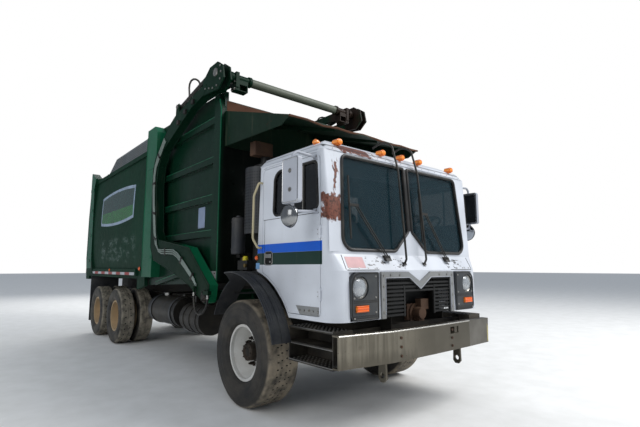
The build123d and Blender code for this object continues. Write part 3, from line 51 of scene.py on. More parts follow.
UP, FRONT, REAR = (0, 0, 1), (1, 0, 0), (-1, 0, 0)
SHARP_EDGE = radians(35)    # edges above this turn stay sharp
Point = Sequence[float]
Spot = tuple[float, float]
Value = Union["Signal", float]


# Shader maths


def rgb(code: str, gain: float = 1.0) -> tuple[float, float, float, float]:
    """Linear colour from a hex code.

    Args:
        code: six hex digits, as a paint card gives them.
        gain: factor on the linear values, which stop at 1.

    Returns:
        Red, green, blue and alpha.
    """
    parts = [int(code[k:k + 2], 16) / 255 for k in (0, 2, 4)]
    linear = [c / 12.92 if c <= 0.04045 else ((c + 0.055) / 1.055) ** 2.4 for c in parts]
    return (*(min(1.0, c * gain) for c in linear), 1.0)


def add_node(tree: bpy.types.NodeTree, kind: str, settings: dict | None = None,
             inputs: dict | None = None) -> bpy.types.Node:
    """Add a node to any tree.

    Args:
        tree: the tree.
        kind: the node's type.
        settings: properties, set before the inputs.
        inputs: values, signals, sockets or nodes by input name or number; a node gives its first output.

    Returns:
        The node.
    """
    node = tree.nodes.new(kind)
    for key, value in (settings or {}).items():
        setattr(node, key, value)
    for key, value in (inputs or {}).items():
        if isinstance(value, Signal):
            value = value.socket
        elif isinstance(value, bpy.types.Node):
            value = value.outputs[0]
        if isinstance(value, bpy.types.NodeSocket):
            tree.links.new(value, node.inputs[key])
        else:
            node.inputs[key].default_value = value
    return node


class Signal:
    """An output socket with Python's operators, each of which adds a Math node."""

    def __init__(self, graph: "Graph", socket: bpy.types.NodeSocket) -> None:
        """Wrap a socket of a graph."""
        self.graph, self.socket = graph, socket

    def math(self, operation: str, *others: Value) -> "Signal":
        """Math node with this signal first."""
        return self.graph.add("ShaderNodeMath", {"operation": operation}, dict(enumerate((self, *others))))

    def __add__(self, other: Value) -> "Signal":
        """Sum."""
        return self.math("ADD", other)

    def __sub__(self, other: Value) -> "Signal":
        """Difference."""
        return self.math("SUBTRACT", other)

    def __mul__(self, other: Value) -> "Signal":
        """Product."""
        return self.math("MULTIPLY", other)

    def __abs__(self) -> "Signal":
        """Size without sign."""
        return self.math("ABSOLUTE")

    def __or__(self, other: Value) -> "Signal":
        """The greater of two masks."""
        return self.math("MAXIMUM", other)

    def __and__(self, other: Value) -> "Signal":
        """The lesser of two masks."""
        return self.math("MINIMUM", other)

    def step(self, low: float, high: float) -> "Signal":
        """Smooth mask that rises from 0 at low to 1 at high.

        Args:
            low: value where the mask is 0.
            high: value where the mask is 1; it may be the smaller one.

        Returns:
            The mask.
        """
        ends = {"To Min": float(low > high), "To Max": float(low <= high)}
        return self.graph.add("ShaderNodeMapRange", {"interpolation_type": "SMOOTHSTEP"},
                              {"Value": self, "From Min": min(low, high), "From Max": max(low, high), **ends})

    def band(self, low: float, high: float, soft: float = 0.002) -> "Signal":
        """Mask between two values, with edges of twice the soft width."""
        return self.step(low - soft, low + soft) & self.step(high + soft, high - soft)


class Graph:
    """Node tree of one material."""

    def __init__(self, name: str) -> None:
        """Make the material and the axes that the masks use: station from the front axle, Y and Z.

        Args:
            name: the material's name.
        """
        self.material = bpy.data.materials.new(name)
        self.material.use_nodes = True
        self.tree = self.material.node_tree
        self.tree.nodes.clear()
        self.place = self.add("ShaderNodeTexCoord", output="Object")
        split = add_node(self.tree, "ShaderNodeSeparateXYZ", inputs={0: self.place})
        x, y, z = (Signal(self, out) for out in split.outputs)
        self.axes = (x - SHIFT, y, z)

    def add(self, kind: str, settings: dict | None = None, inputs: dict | None = None,
            output: int | str = 0) -> Signal:
        """Output of a new node."""
        return Signal(self, add_node(self.tree, kind, settings, inputs).outputs[output])

    def noise(self, scale: float, stretch: Point = (1, 1, 1), detail: float = 4.0, shift: float = 0.0) -> Signal:
        """Noise between 0 and 1.

        Args:
            scale: features to a metre.
            stretch: factor along each axis.
            detail: octaves.
            shift: offset that gives another pattern.

        Returns:
            The noise.
        """
        spread = self.add("ShaderNodeMapping", None, {"Vector": self.place, "Location": (shift,) * 3,
                                                      "Scale": tuple(stretch)})
        return self.add("ShaderNodeTexNoise", None, {"Vector": spread, "Scale": scale, "Detail": detail,
                                                     "Roughness": 0.6})

    def mix(self, under: Union[Signal, Point], over: Union[Signal, Point], share: Value) -> Signal:
        """Mix of two colours, the second one at share 1."""
        return self.add("ShaderNodeMix", {"data_type": "RGBA"}, {0: share, 6: under, 7: over}, 2)

    def relief(self, height: Signal, depth: float, strength: float = 0.6) -> Signal:
        """Normal bumped by a height."""
        return self.add("ShaderNodeBump", None, {"Height": height, "Distance": depth, "Strength": strength})

    def surface(self, **sockets: Value) -> bpy.types.Material:
        """Close the graph with a Principled shader.

        Args:
            sockets: the shader's inputs, named with _ for a space.

        Returns:
            The material.
        """
        inputs = {name.replace("_", " "): value for name, value in sockets.items()}
        add_node(self.tree, "ShaderNodeOutputMaterial", None,
                 {0: add_node(self.tree, "ShaderNodeBsdfPrincipled", None, inputs)})
        return self.material


# Finishes


@dataclass(frozen=True)
class Paint:
    """Worn paint on steel: dust, streaks, scratches and chips.

    Args in order: name, colour, gloss, share of dust, of streaks and of chips, and the chips' colour.
    """

    name: str
    colour: str
    rough: float = 0.35
    dust: float = 0.3
    streaks: float = 0.3
    chips: float = 0.2
    chip_colour: str = "5a3324"
    dust_colour: str = "8c8271"
    dents: float = 0.004
    metal: float = 0.0
    shine: float = 0.4

    def base(self, graph: Graph) -> Signal:
        """Colour before dirt."""
        return graph.mix(rgb(self.colour, 0.72), rgb(self.colour), graph.noise(0.9, detail=3).step(0.3, 0.7))

    def build(self) -> bpy.types.Material:
        """Build the shader.

        Returns:
            The finished material.
        """
        graph = Graph(self.name)
        noise, mix = graph.noise, graph.mix
        streak = noise(3.0, (5, 5, 0.35)).step(0.52, 0.8) * self.streaks
        low = graph.axes[2].step(2.4, 0.2) * self.dust + self.dust * 0.3
        dust = low * noise(2.2, detail=6).step(0.25, 0.75) | streak
        scratch = noise(30.0, (0.25, 1, 3.0), 2, 4.0).step(0.69, 0.73) * noise(1.7, shift=3.0).step(0.45, 0.6)
        chip = noise(26.0, detail=6, shift=2.0).step(0.62, 0.66) * noise(2.6, shift=7.0).step(0.5, 0.62)
        chip = (chip | scratch) * self.chips
        colour = mix(mix(self.base(graph), rgb(self.dust_colour), dust), rgb(self.chip_colour), chip)
        rough = dust * 0.4 + chip * 0.3 + noise(9.0).step(0.2, 0.9) * 0.12 + self.rough
        bump = noise(1.6, detail=2, shift=5.0) + chip * -0.05
        return graph.surface(Base_Color=colour, Roughness=rough, Metallic=self.metal, Specular_IOR_Level=self.shine,
                             Normal=graph.relief(bump, self.dents))


@dataclass(frozen=True)
class CabPaint(Paint):
    """White cab paint with the two side stripes and the rust patches."""

    blue: str = "0058c6"
    green: str = "022e25"
    rust: str = "7c4a3b"
    deep_rust: str = "4a2c22"
    mark: str = "2b2725"
    # colour of the painted shade inside the cab
    interior_shade: str = "17191c"

    def base(self, graph: Graph) -> Signal:
        """White, stripes on both sides, bare rust, and painted shade on the inside of the cab.

        Args:
            graph: the material's node tree.

        Returns:
            The colour before dirt.
        """
        x, y, z = graph.axes
        noise, mix = graph.noise, graph.mix
        edge = noise(14.0, detail=6, shift=9.0) * 0.16
        front = x.step(1.255, 1.27)
        side = abs(y).step(1.17, 1.176) * x.step(0.14, 0.15) * x.step(1.284, 1.28)
        colour = mix(super().base(graph), rgb(self.blue), z.band(1.628, 1.72) * side)
        colour = mix(colour, rgb(self.green), z.band(1.506, 1.628) * side)
        post = (z + edge * 1.2).band(2.0, 2.25, 0.01) * (abs(y + 1.085) + edge * 0.7).step(0.155, 0.145) * front
        eaves = (y + edge * 2).band(-0.80, -0.34, 0.01) * (z + edge * 0.6).band(2.625, 2.735, 0.006)
        strips = (abs(y + 1.035) + edge * 0.5).step(0.085, 0.07) * noise(18.0, (1, 1, 0.45), 5, 6.0).step(0.5, 0.54)
        bare = post | eaves * x.step(1.12, 1.15) | strips * z.band(1.95, 2.5, 0.05) * front
        apron = (y + edge).band(-0.66, -0.10, 0.02) | (y + edge).band(0.62, 0.98, 0.02)
        mark = apron * (z + edge * 0.3).band(1.49, 1.60, 0.01) * x.step(1.3, 1.34) * noise(
            13.0, (1, 1, 2.6), 6).step(0.56, 0.6)
        # painted shade: the cab's inner faces mixed to near black
        inside = abs(y).step(1.15, 1.14) * x.band(0.2, 1.255, 0.01) * z.band(1.2, 2.63, 0.01)
        tint = mix(rgb(self.rust), rgb(self.deep_rust), noise(40.0, detail=6).step(0.4, 0.65))
        return mix(mix(mix(colour, rgb(self.mark), mark), tint, bare), rgb(self.interior_shade), inside)


@dataclass(frozen=True)
class PackerPaint(Paint):
    """Packer paint with pale smudges, low on each side."""

    pale: str = "93a39f"

    def base(self, graph: Graph) -> Signal:
        """Green, then what is left of a pale patch that has partly come off.

        Args:
            graph: the material's node tree.

        Returns:
            The colour before dirt.
        """
        x, y, z = graph.axes
        fade = x.band(-6.35, -3.95, 0.15) * z.band(1.6, 2.04, 0.07) * abs(y).step(1.0, 1.1)
        mark = graph.noise(3.2, (1, 1, 2.2), 7, 11.0).step(0.46, 0.66) * graph.noise(
            17.0, (1, 1, 2), 5, 4.0).step(0.35, 0.6)
        return graph.mix(super().base(graph), rgb(self.pale), fade * mark * 0.4)


@dataclass(frozen=True)
class ShadedWallPaint(Paint):
    """Hopper paint, with painted shade near black on the wall behind the cab."""

    # colour of the painted shade on the wall under the canopy
    canopy_shade: str = "0b0d0c"

    def base(self, graph: Graph) -> Signal:
        """Green, then painted shade on the wall under the canopy.

        Args:
            graph: the material's node tree.

        Returns:
            The colour before dirt.
        """
        x, y, z = graph.axes
        # painted shade: the front wall under the canopy mixed almost to black
        wall = x.step(-0.83, -0.80) * abs(y).step(1.15, 1.10) * z.step(3.6, 3.3)
        return graph.mix(super().base(graph), rgb(self.canopy_shade), wall * 0.9)


@dataclass(frozen=True)
class ArmPaint(Paint):
    """Arm paint: painted shade on the foot, a painted highlight on the foot's narrow faces, and brown with rust round
    the left fork carrier.
    """

    brown: str = "2b211b"
    # bright is the painted highlight colour and dark the painted shade colour
    bright: str = "0a6a45"
    dark: str = "002312"

    def base(self, graph: Graph) -> Signal:
        """Green, painted shade on the foot and a painted highlight on its narrow faces, then the brown end.

        Args:
            graph: the material's node tree.

        Returns:
            The colour before dirt.
        """
        x, y, z = graph.axes
        # painted highlight on the narrow faces between the arm's two sides, low on the arm
        foot = abs(y).band(1.18, 1.29, 0.003) * z.step(2.0, 1.8) * x.step(-1.9, -1.6)
        end = y.step(0.6, 0.85) * x.step(-1.15, -0.95) * z.step(3.55, 3.65)
        # painted shade: the arm darkened below about two metres
        colour = graph.mix(super().base(graph), rgb(self.dark), z.step(2.05, 1.85) * 0.75)
        colour = graph.mix(colour, rgb(self.bright), foot * 0.9)
        return graph.mix(colour, rgb(self.brown), end * graph.noise(4.0, shift=6.0).step(0.3, 0.5))


@dataclass(frozen=True)
class BumperSteel(Paint):
    """Bare steel with dark runs that rise from the lower edge."""

    # colour of the grime, and of the painted shade at the left end
    grime_and_shade: str = "302c24"

    def base(self, graph: Graph) -> Signal:
        """Steel, then the runs, and painted shade that darkens it towards the left end.

        Args:
            graph: the material's node tree.

        Returns:
            The colour before dirt.
        """
        runs = graph.noise(3.0, (0.4, 8.0, 0.35), 6, 8.0).step(0.36, 0.7)
        low = (graph.axes[2] + runs * -0.10).step(0.80, 0.60) * 0.62
        spots = graph.noise(6.0, (1, 1, 0.8), 6, 3.0).step(0.5, 0.72) * 0.5
        # painted shade: darker towards the left end
        far = graph.axes[1].step(-0.85, 0.0) * 0.72
        return graph.mix(super().base(graph), rgb(self.grime_and_shade), low | runs * 0.55 | spots | far)


@dataclass(frozen=True)
class Plain:
    """Moulded or plated surface with fine grain and a film of dirt.

    Args in order: name, colour, gloss, metal, scale and depth of the grain, share and colour of the dirt.
    """

    name: str
    colour: str
    rough: float = 0.5
    metal: float = 0.0
    grain: float = 90.0
    relief: float = 0.0006
    dirt: float = 0.35
    dirt_colour: str = "6f675a"

    def build(self) -> bpy.types.Material:
        """Build the shader.

        Returns:
            The finished material.
        """
        graph = Graph(self.name)
        film = graph.noise(4.0, detail=6).step(0.35, 0.8) * self.dirt
        colour = graph.mix(rgb(self.colour, 0.8), rgb(self.colour), graph.noise(7.0).step(0.3, 0.7))
        return graph.surface(Base_Color=graph.mix(colour, rgb(self.dirt_colour), film), Metallic=self.metal,
                             Roughness=film * 0.4 + self.rough,
                             Normal=graph.relief(graph.noise(self.grain, detail=3), self.relief))


@dataclass(frozen=True)
class Glass:
    """Tinted pane or clear lens, with alpha so that what is behind it shows."""

    name: str
    colour: str
    alpha: float
    rough: float = 0.03
    dirt: float = 0.05
    film: str = "a9a69c"

    def build(self) -> bpy.types.Material:
        """Build the shader.

        Returns:
            The finished material.
        """
        graph = Graph(self.name)
        smear = graph.noise(3.0, (1, 1, 0.4), 6).step(0.5, 0.85) * self.dirt
        return graph.surface(Base_Color=graph.mix(rgb(self.colour), rgb(self.film), smear), IOR=1.5,
                             Roughness=smear * 2.0 + self.rough, Alpha=smear + self.alpha, Specular_IOR_Level=0.8)


@dataclass(frozen=True)
class Lens:
    """Ribbed coloured lamp lens with painted highlights on the rib crests."""

    name: str
    colour: str
    ribs: float = 260.0

    def build(self) -> bpy.types.Material:
        """Build the shader.

        Returns:
            The finished material.
        """
        graph = Graph(self.name)
        rib = (graph.axes[2] * self.ribs).math("SINE")
        # painted highlight: each rib's crest lighter than the lens colour
        rib_highlight = graph.mix(rgb(self.colour), rgb(self.colour, 1.7), rib.step(-0.4, 0.9))
        return graph.surface(Base_Color=rib_highlight, Roughness=graph.noise(20.0) * 0.15 + 0.12, Coat_Weight=0.4,
                             Normal=graph.relief(rib, 0.0015))


@dataclass(frozen=True)
class Rubber:
    """Tyre rubber: dusty tread and side, turned round an axle at (x, z), with notches from wear in the tread, painted
    near black as shade.
    """

    name: str
    x: float
    z: float
    radius: float
    rows: tuple[float, ...]
    count: int
    dust: str = "8d8270"
    side_dust: float = 0.28
    rubber: str = "1d1c1b"
    # colour of the painted shade in the tread notches
    shaded_notch: str = "0b0b0b"

    def build(self) -> bpy.types.Material:
        """Build the shader.

        Returns:
            The finished material.
        """
        graph = Graph(self.name)
        x, y, z = graph.axes
        dx, dz = x - self.x, z - self.z
        reach = (dx * dx + dz * dz).math("SQRT")
        turn = dz.math("ARCTAN2", dx) * (self.count / 2.0)
        tread = reach.step(self.radius - 0.03, self.radius - 0.008)
        shaded_notch: Signal | None = None
        for k, row in enumerate(self.rows):
            pit = (turn + k * 1.3).math("SINE").step(0.80, 0.90) * abs(abs(y) - row).step(0.013, 0.009)
            shaded_notch = pit if shaded_notch is None else shaded_notch | pit
        shaded_notch = shaded_notch * tread
        film = graph.noise(5.0, detail=6).step(0.3, 0.75) * self.side_dust + tread * 0.9 * graph.noise(
            9.0, shift=3.0).step(0.2, 0.7)
        ring = (reach * 210.0).math("SINE").step(0.6, 0.95) * reach.band(self.radius * 0.6, self.radius * 0.66, 0.01)
        # painted shade: the notches mixed to near black
        colour = graph.mix(graph.mix(rgb(self.rubber), rgb(self.dust), film), rgb(self.shaded_notch), shaded_notch)
        height = ring * 0.5 - shaded_notch * 2.0 + graph.noise(60.0, detail=4) * 0.4
        return graph.surface(Base_Color=colour, Roughness=film * 0.2 + 0.62, Normal=graph.relief(height, 0.003, 0.8))


class Finish(Enum):
    """Every finish of the truck, built once on first use."""

    BODY = ShadedWallPaint("body_green", "052b1c", 0.26, 0.02, 0.05, 0.12, "3f5046", shine=0.15)
    PACKER = PackerPaint("packer_green", "063724", 0.55, 0.03, 0.06, 0.02, "3f5046", dents=0.003, shine=0.15)
    BRIGHT = Paint("bright_green", "046040", 0.28, 0.05, 0.10, 0.35, "6d7a70", shine=0.3)
    ARM = ArmPaint("arm_green", "062a1b", 0.34, 0.03, 0.07, 0.3, "3f5046", shine=0.08)
    CANOPY = Paint("canopy_green", "08291a", 0.45, 0.08, 0.2, 0.9, "4b3325", shine=0.2)
    CAB = CabPaint("cab_white", "dfe3ea", 0.28, 0.05, 0.08, 0.10, "8a7a6c")
    WHEEL = Paint("wheel_white", "e2e2de", 0.35, 0.35, 0.2, 0.2, "8a6b52")
    CREAM = Paint("wheel_cream", "d8b88c", 0.5, 0.5, 0.4, 0.9, "7a4c2c")
    CHASSIS = Paint("chassis_black", "100f0e", 0.55, 0.35, 0.25, 0.5, "3c2c20", "4b4439", shine=0.2)
    TANK = Paint("tank_black", "0c0d0f", 0.36, 0.14, 0.15, 0.3, "3e3a36", shine=0.3)
    BLACK = Paint("black_paint", "121212", 0.42, 0.3, 0.2, 0.3, "4a4540")
    SIGN = Paint("sign_grey", "6c7376", 0.45, 0.3, 0.4, 0.3, "4f4a44")
    GREY = Paint("trim_grey", "8d9092", 0.4, 0.35, 0.3, 0.5, "5a4a3c")
    RAIL = Paint("rail_cream", "cfc29c", 0.4, 0.2, 0.3, 0.7, "6a4a34")
    MIRROR = Paint("mirror_shell", "b9bdc6", 0.35, 0.15, 0.2, 0.2, "7d7d7d")
    BUMPER = BumperSteel("bumper_steel", "9c9586", 0.26, 0.25, 0.5, 0.6, "4c4138", "605c52", 0.008, 0.85)
    BUMPER_EDGE = Paint("bumper_bright_edge", "d9d6cf", 0.2, 0.1, 0.2, 0.6, "5c5247", "8a8274", 0.004, 0.9)
    OLIVE = Paint("olive_tube", "62695a", 0.45, 0.2, 0.3, 0.8, "8f8f80")
    BLUE_PATCH = Plain("blue_patch", "6fa6d8", 0.45, 0.0, 60.0, 0.0003, 0.2, "b9b0a8")
    RUST = Paint("bare_rust", "5c3a28", 0.85, 0.5, 0.4, 0.8, "2c1c14", "7a5a40", 0.01)
    FLARE = Plain("flare_rubber", "26282d", 0.55, 0.0, 40.0, 0.002, 0.45, "6a6a66")
    SEAL = Plain("seal_rubber", "0b0b0c", 0.45, 0.0, 80.0, 0.0006, 0.2)
    HOSE = Plain("hose_rubber", "151515", 0.5, 0.0, 120.0, 0.0008, 0.35)
    VINYL = Plain("dark_vinyl", "1c1d20", 0.6, 0.0, 200.0, 0.0006, 0.15)
    BEZEL = Plain("bezel_grey", "33373b", 0.45, 0.0, 60.0, 0.001, 0.25, "6a675f")
    GRILLE = Plain("grille_black", "070808", 0.7, 0.0, 60.0, 0.0006, 0.05, "4a463f")
    STEEL = Plain("bright_steel", "b4b2ad", 0.3, 1.0, 50.0, 0.0006, 0.4)
    CHROME = Plain("chrome", "d8d8d8", 0.12, 1.0, 50.0, 0.0001, 0.1)
    BOWL = Plain("mirror_bowl", "a9abad", 0.14, 1.0, 12.0, 0.0015, 0.25)
    # painted shade: near black that stands in for the shade inside holes, slots and recesses
    DARK = Plain("hollow_shade", "050505", 0.9, 0.0, 50.0, 0.0005, 0.2)
    MIRROR_GLASS = Plain("mirror_glass", "c8ccd0", 0.04, 1.0, 30.0, 0.00005, 0.08)
    YELLOW = Plain("valve_yellow", "d8c81c", 0.45, 0.0, 50.0, 0.0005, 0.2)
    BRASS = Plain("brass", "8c7444", 0.4, 0.9, 50.0, 0.0005, 0.4)
    NUT = Plain("dark_nut", "2e2a27", 0.5, 0.6, 60.0, 0.0008, 0.4, "6b5a48")
    RUST_NUT = Plain("rusty_nut", "4a3426", 0.7, 0.3, 60.0, 0.001, 0.5, "7a5c44")
    LINE = Paint("oil_line", "85938b", 0.35, 0.1, 0.2, 0.5, "3f5046")
    CANISTER = Plain("canister_grey", "33363a", 0.4, 0.2, 40.0, 0.0006, 0.3)
    PLATE = Plain("blank_plate", "8ea0bd", 0.35, 0.2, 30.0, 0.0006, 0.25, "b9bcc2")
    FRONT_RUBBER = Rubber("front_rubber", 0.0, 0.5615, 0.5615, (0.985, 1.03, 1.09, 1.135), 96, side_dust=0.15)
    FORE_RUBBER = Rubber("fore_rubber", -5.07, 0.528, 0.528, (1.02, 1.11), 56, "9a9282")
    AFT_RUBBER = Rubber("aft_rubber", -6.44, 0.528, 0.528, (1.02, 1.11), 56, "9a9282")
    GLASS = Glass("tinted_glass", "1b3239", 0.59, dirt=0.03)
    DOOR_GLASS = Glass("door_glass", "070a0c", 0.72)
    CLEAR = Glass("clear_lens", "c9ced2", 0.35, 0.05, 0.1)
    AMBER = Lens("amber_lens", "e0560a")
    PALE_AMBER = Lens("pale_amber_lens", "e47a2e", 120.0)
    RED = Lens("red_lens", "a01208")
    TAPE_RED = Plain("tape_red", "a8201c", 0.3, 0.0, 400.0, 0.0006, 0.3)
    TAPE_WHITE = Plain("tape_white", "c9ccd0", 0.3, 0.0, 400.0, 0.0006, 0.3)
    END_PIECE = Plain("bumper_end_piece", "a79a5e", 0.45, 0.0, 60.0, 0.0006, 0.4)
    STICKER = Plain("faded_sticker", "d9a8a8", 0.5, 0.0, 60.0, 0.0003, 0.2, "b9b0a8")
    BOARD = Plain("board_green", "123a34", 0.25, 0.0, 12.0, 0.001, 0.2, "5c6a66")
    BOARD_LOW = Plain("board_bright_green", "1c6a2c", 0.25, 0.0, 12.0, 0.001, 0.2, "5c6a66")
    BOARD_RIM = Plain("board_rim", "9fb2c8", 0.3, 0.0, 12.0, 0.001, 0.25, "5c6a66")

    def material(self) -> bpy.types.Material:
        """Build the material on first use.

        Returns:
            The material, kept under the finish's own name.
        """
        known = bpy.data.materials.get(self.value.name + "_finish")
        if known is None:
            known = self.value.build()
            known.name = self.value.name + "_finish"
        return known


# Meshes


class Repeat:
    """Geometry Nodes tree that sets a small form out in a ring or a row."""

    def __init__(self, name: str, ring: bool, sides: int) -> None:
        """Build the tree.

        Args:
            name: the tree's name.
            ring: a ring round Z when true, else a row along X.
            sides: faces round the small form; 4 gives a block.
        """
        tree = self.tree = bpy.data.node_groups.new(name, "GeometryNodeTree")
        for label, kind in (("Count", "Int"), ("Reach", "Float"), ("Size", "Vector"), ("Finish", "Material")):
            tree.interface.new_socket(label, in_out="INPUT", socket_type="NodeSocket" + kind)
        tree.interface.new_socket("Geometry", in_out="OUTPUT", socket_type="NodeSocketGeometry")

        def new(kind: str, inputs: dict | None = None) -> bpy.types.Node:
            """Add a node to this tree.

            Args:
                kind: the node's type, or the operation of a Math node.
                inputs: values, sockets or nodes by input.

            Returns:
                The node.
            """
            if kind in ("DIVIDE", "MULTIPLY"):
                return add_node(tree, "ShaderNodeMath", {"operation": kind}, inputs)
            return add_node(tree, kind, None, inputs)

        count, reach, size, finish = list(new("NodeGroupInput").outputs)[:4]
        index = new("GeometryNodeInputIndex")
        form = new("GeometryNodeMeshCylinder", {"Vertices": sides, "Radius": 0.5 if sides > 4 else sqrt(0.5),
                                                "Depth": 1.0})
        square = new("GeometryNodeTransform", {"Geometry": form,
                                               "Rotation": (0, 0, radians(45) if sides == 4 else 0)})
        shaping, spots, placing = {"Geometry": square, "Scale": size}, {"Count": count}, {}
        if ring:
            angle = new("MULTIPLY", {0: index, 1: new("DIVIDE", {0: 2 * pi, 1: count})})
            shaping["Translation"] = new("ShaderNodeCombineXYZ", {0: reach})
            placing["Rotation"] = new("ShaderNodeCombineXYZ", {2: angle})
        else:
            spots["Position"] = new("ShaderNodeCombineXYZ", {0: new("MULTIPLY", {0: index, 1: reach})})
        placed = new("GeometryNodeInstanceOnPoints", {"Points": new("GeometryNodePoints", spots),
                                                      "Instance": new("GeometryNodeTransform", shaping), **placing})
        real = new("GeometryNodeRealizeInstances", {0: placed})
        new("NodeGroupOutput", {0: new("GeometryNodeSetMaterial", {"Geometry": real, "Material": finish})})

    def mesh(self, count: int, reach: float, size: Point, finish: Finish) -> bpy.types.Mesh:
        """Evaluate the tree.

        Args:
            count: how many forms.
            reach: radius of the ring, or step of the row.
            size: the form's size along X, Y and Z.
            finish: its material.

        Returns:
            A plain mesh.
        """
        holder = bpy.data.objects.new("repeat", bpy.data.meshes.new("repeat"))
        bpy.context.scene.collection.objects.link(holder)
        modifier = holder.modifiers.new("repeat", "NODES")
        modifier.node_group = self.tree
        values = {"Count": count, "Reach": reach, "Size": tuple(size), "Finish": finish.material()}
        for item in self.tree.interface.items_tree:
            if item.in_out == "INPUT":
                modifier[item.identifier] = values[item.name]
        result = bpy.data.meshes.new_from_object(holder.evaluated_get(bpy.context.evaluated_depsgraph_get()))
        bpy.data.objects.remove(holder)
        return result


RING_HEX, RING_BLOCK = Repeat("ring_hex", True, 6), Repeat("ring_block", True, 4)
ROW_HEX, ROW_ROUND = Repeat("row_hex", False, 6), Repeat("row_round", False, 12)
ROW_BLOCK = Repeat("row_block", False, 4)


def at(x: float, y: float, z: float) -> Vector:
    """Point in the truck's frame, its X counted from the front axle."""
    return Vector((SHIFT + x, y, z))


def flank(y: float, spots: Iterable[Spot]) -> list[Vector]:
    """Points at one Y, from pairs of X and Z."""
    return [at(x, y, z) for x, z in spots]


def across(x: float, spots: Iterable[Spot]) -> list[Vector]:
    """Points at one X, from pairs of Y and Z."""
    return [at(x, y, z) for y, z in spots]


def oblong(x0: float, z0: float, x1: float, z1: float) -> list[Spot]:
    """Corners of a rectangle."""
    return [(x0, z0), (x1, z0), (x1, z1), (x0, z1)]


def hoop(radius: float, thick: float, half: float) -> list[Spot]:
    """Section of a flat band, from its inner radius, thickness and half width."""
    return [(radius, -half), (radius + thick, -half), (radius + thick, half), (radius, half)]


def arch(radius: float, height: float, turns: Iterable[float]) -> list[Spot]:
    """Points of X and Z on a circle round the front axle, from turns in degrees."""
    return [(radius * cos(radians(a)), height + radius * sin(radians(a))) for a in turns]


def facing(place: Point, normal: Point, along: Point | None = None) -> Matrix:
    """Matrix that puts a form's Z along normal and its X along a direction.

    Args:
        place: where the form's origin goes.
        normal: the form's Z.
        along: the form's X, or None for any.

    Returns:
        The matrix.
    """
    z = Vector(normal).normalized()
    y = z.cross(Vector(along or ((1, 0, 0) if abs(z.x) < 0.9 else (0, 1, 0)))).normalized()
    return Matrix.Translation(Vector(place)) @ Matrix((y.cross(z), y, z)).transposed().to_4x4()


def aimed(x: float, y: float, z: float, normal: Point, along: Point | None = None) -> Matrix:
    """The matrix of facing, placed at a station from the front axle."""
    return facing(at(x, y, z), normal, along)


def lifted(matrix: Matrix, height: float) -> Matrix:
    """A matrix moved along its own Z."""
    return matrix @ Matrix.Translation((0, 0, height))


def rounded(corners: Sequence[Spot], radii: Sequence[float] | float, steps: int = 6) -> list[Spot]:
    """Outline with rounded corners.

    Args:
        corners: corner points in order.
        radii: one radius for each corner, or one for all.
        steps: points in each arc.

    Returns:
        The outline's points.
    """
    points, count = [], len(corners)
    for k, radius in enumerate([radii] * count if isinstance(radii, float) else radii):
        p = Vector(corners[k])
        a = (Vector(corners[k - 1]) - p).normalized()
        b = (Vector(corners[(k + 1) % count]) - p).normalized()
        half = a.angle(b) / 2
        reach = radius / tan(half)
        centre = p + (a + b).normalized() * (radius / sin(half))
        start, end = p + a * reach - centre, p + b * reach - centre
        for s in range(steps + 1):
            points.append(tuple(centre + (start * (1 - s / steps) + end * (s / steps)).normalized() * radius))
    return points


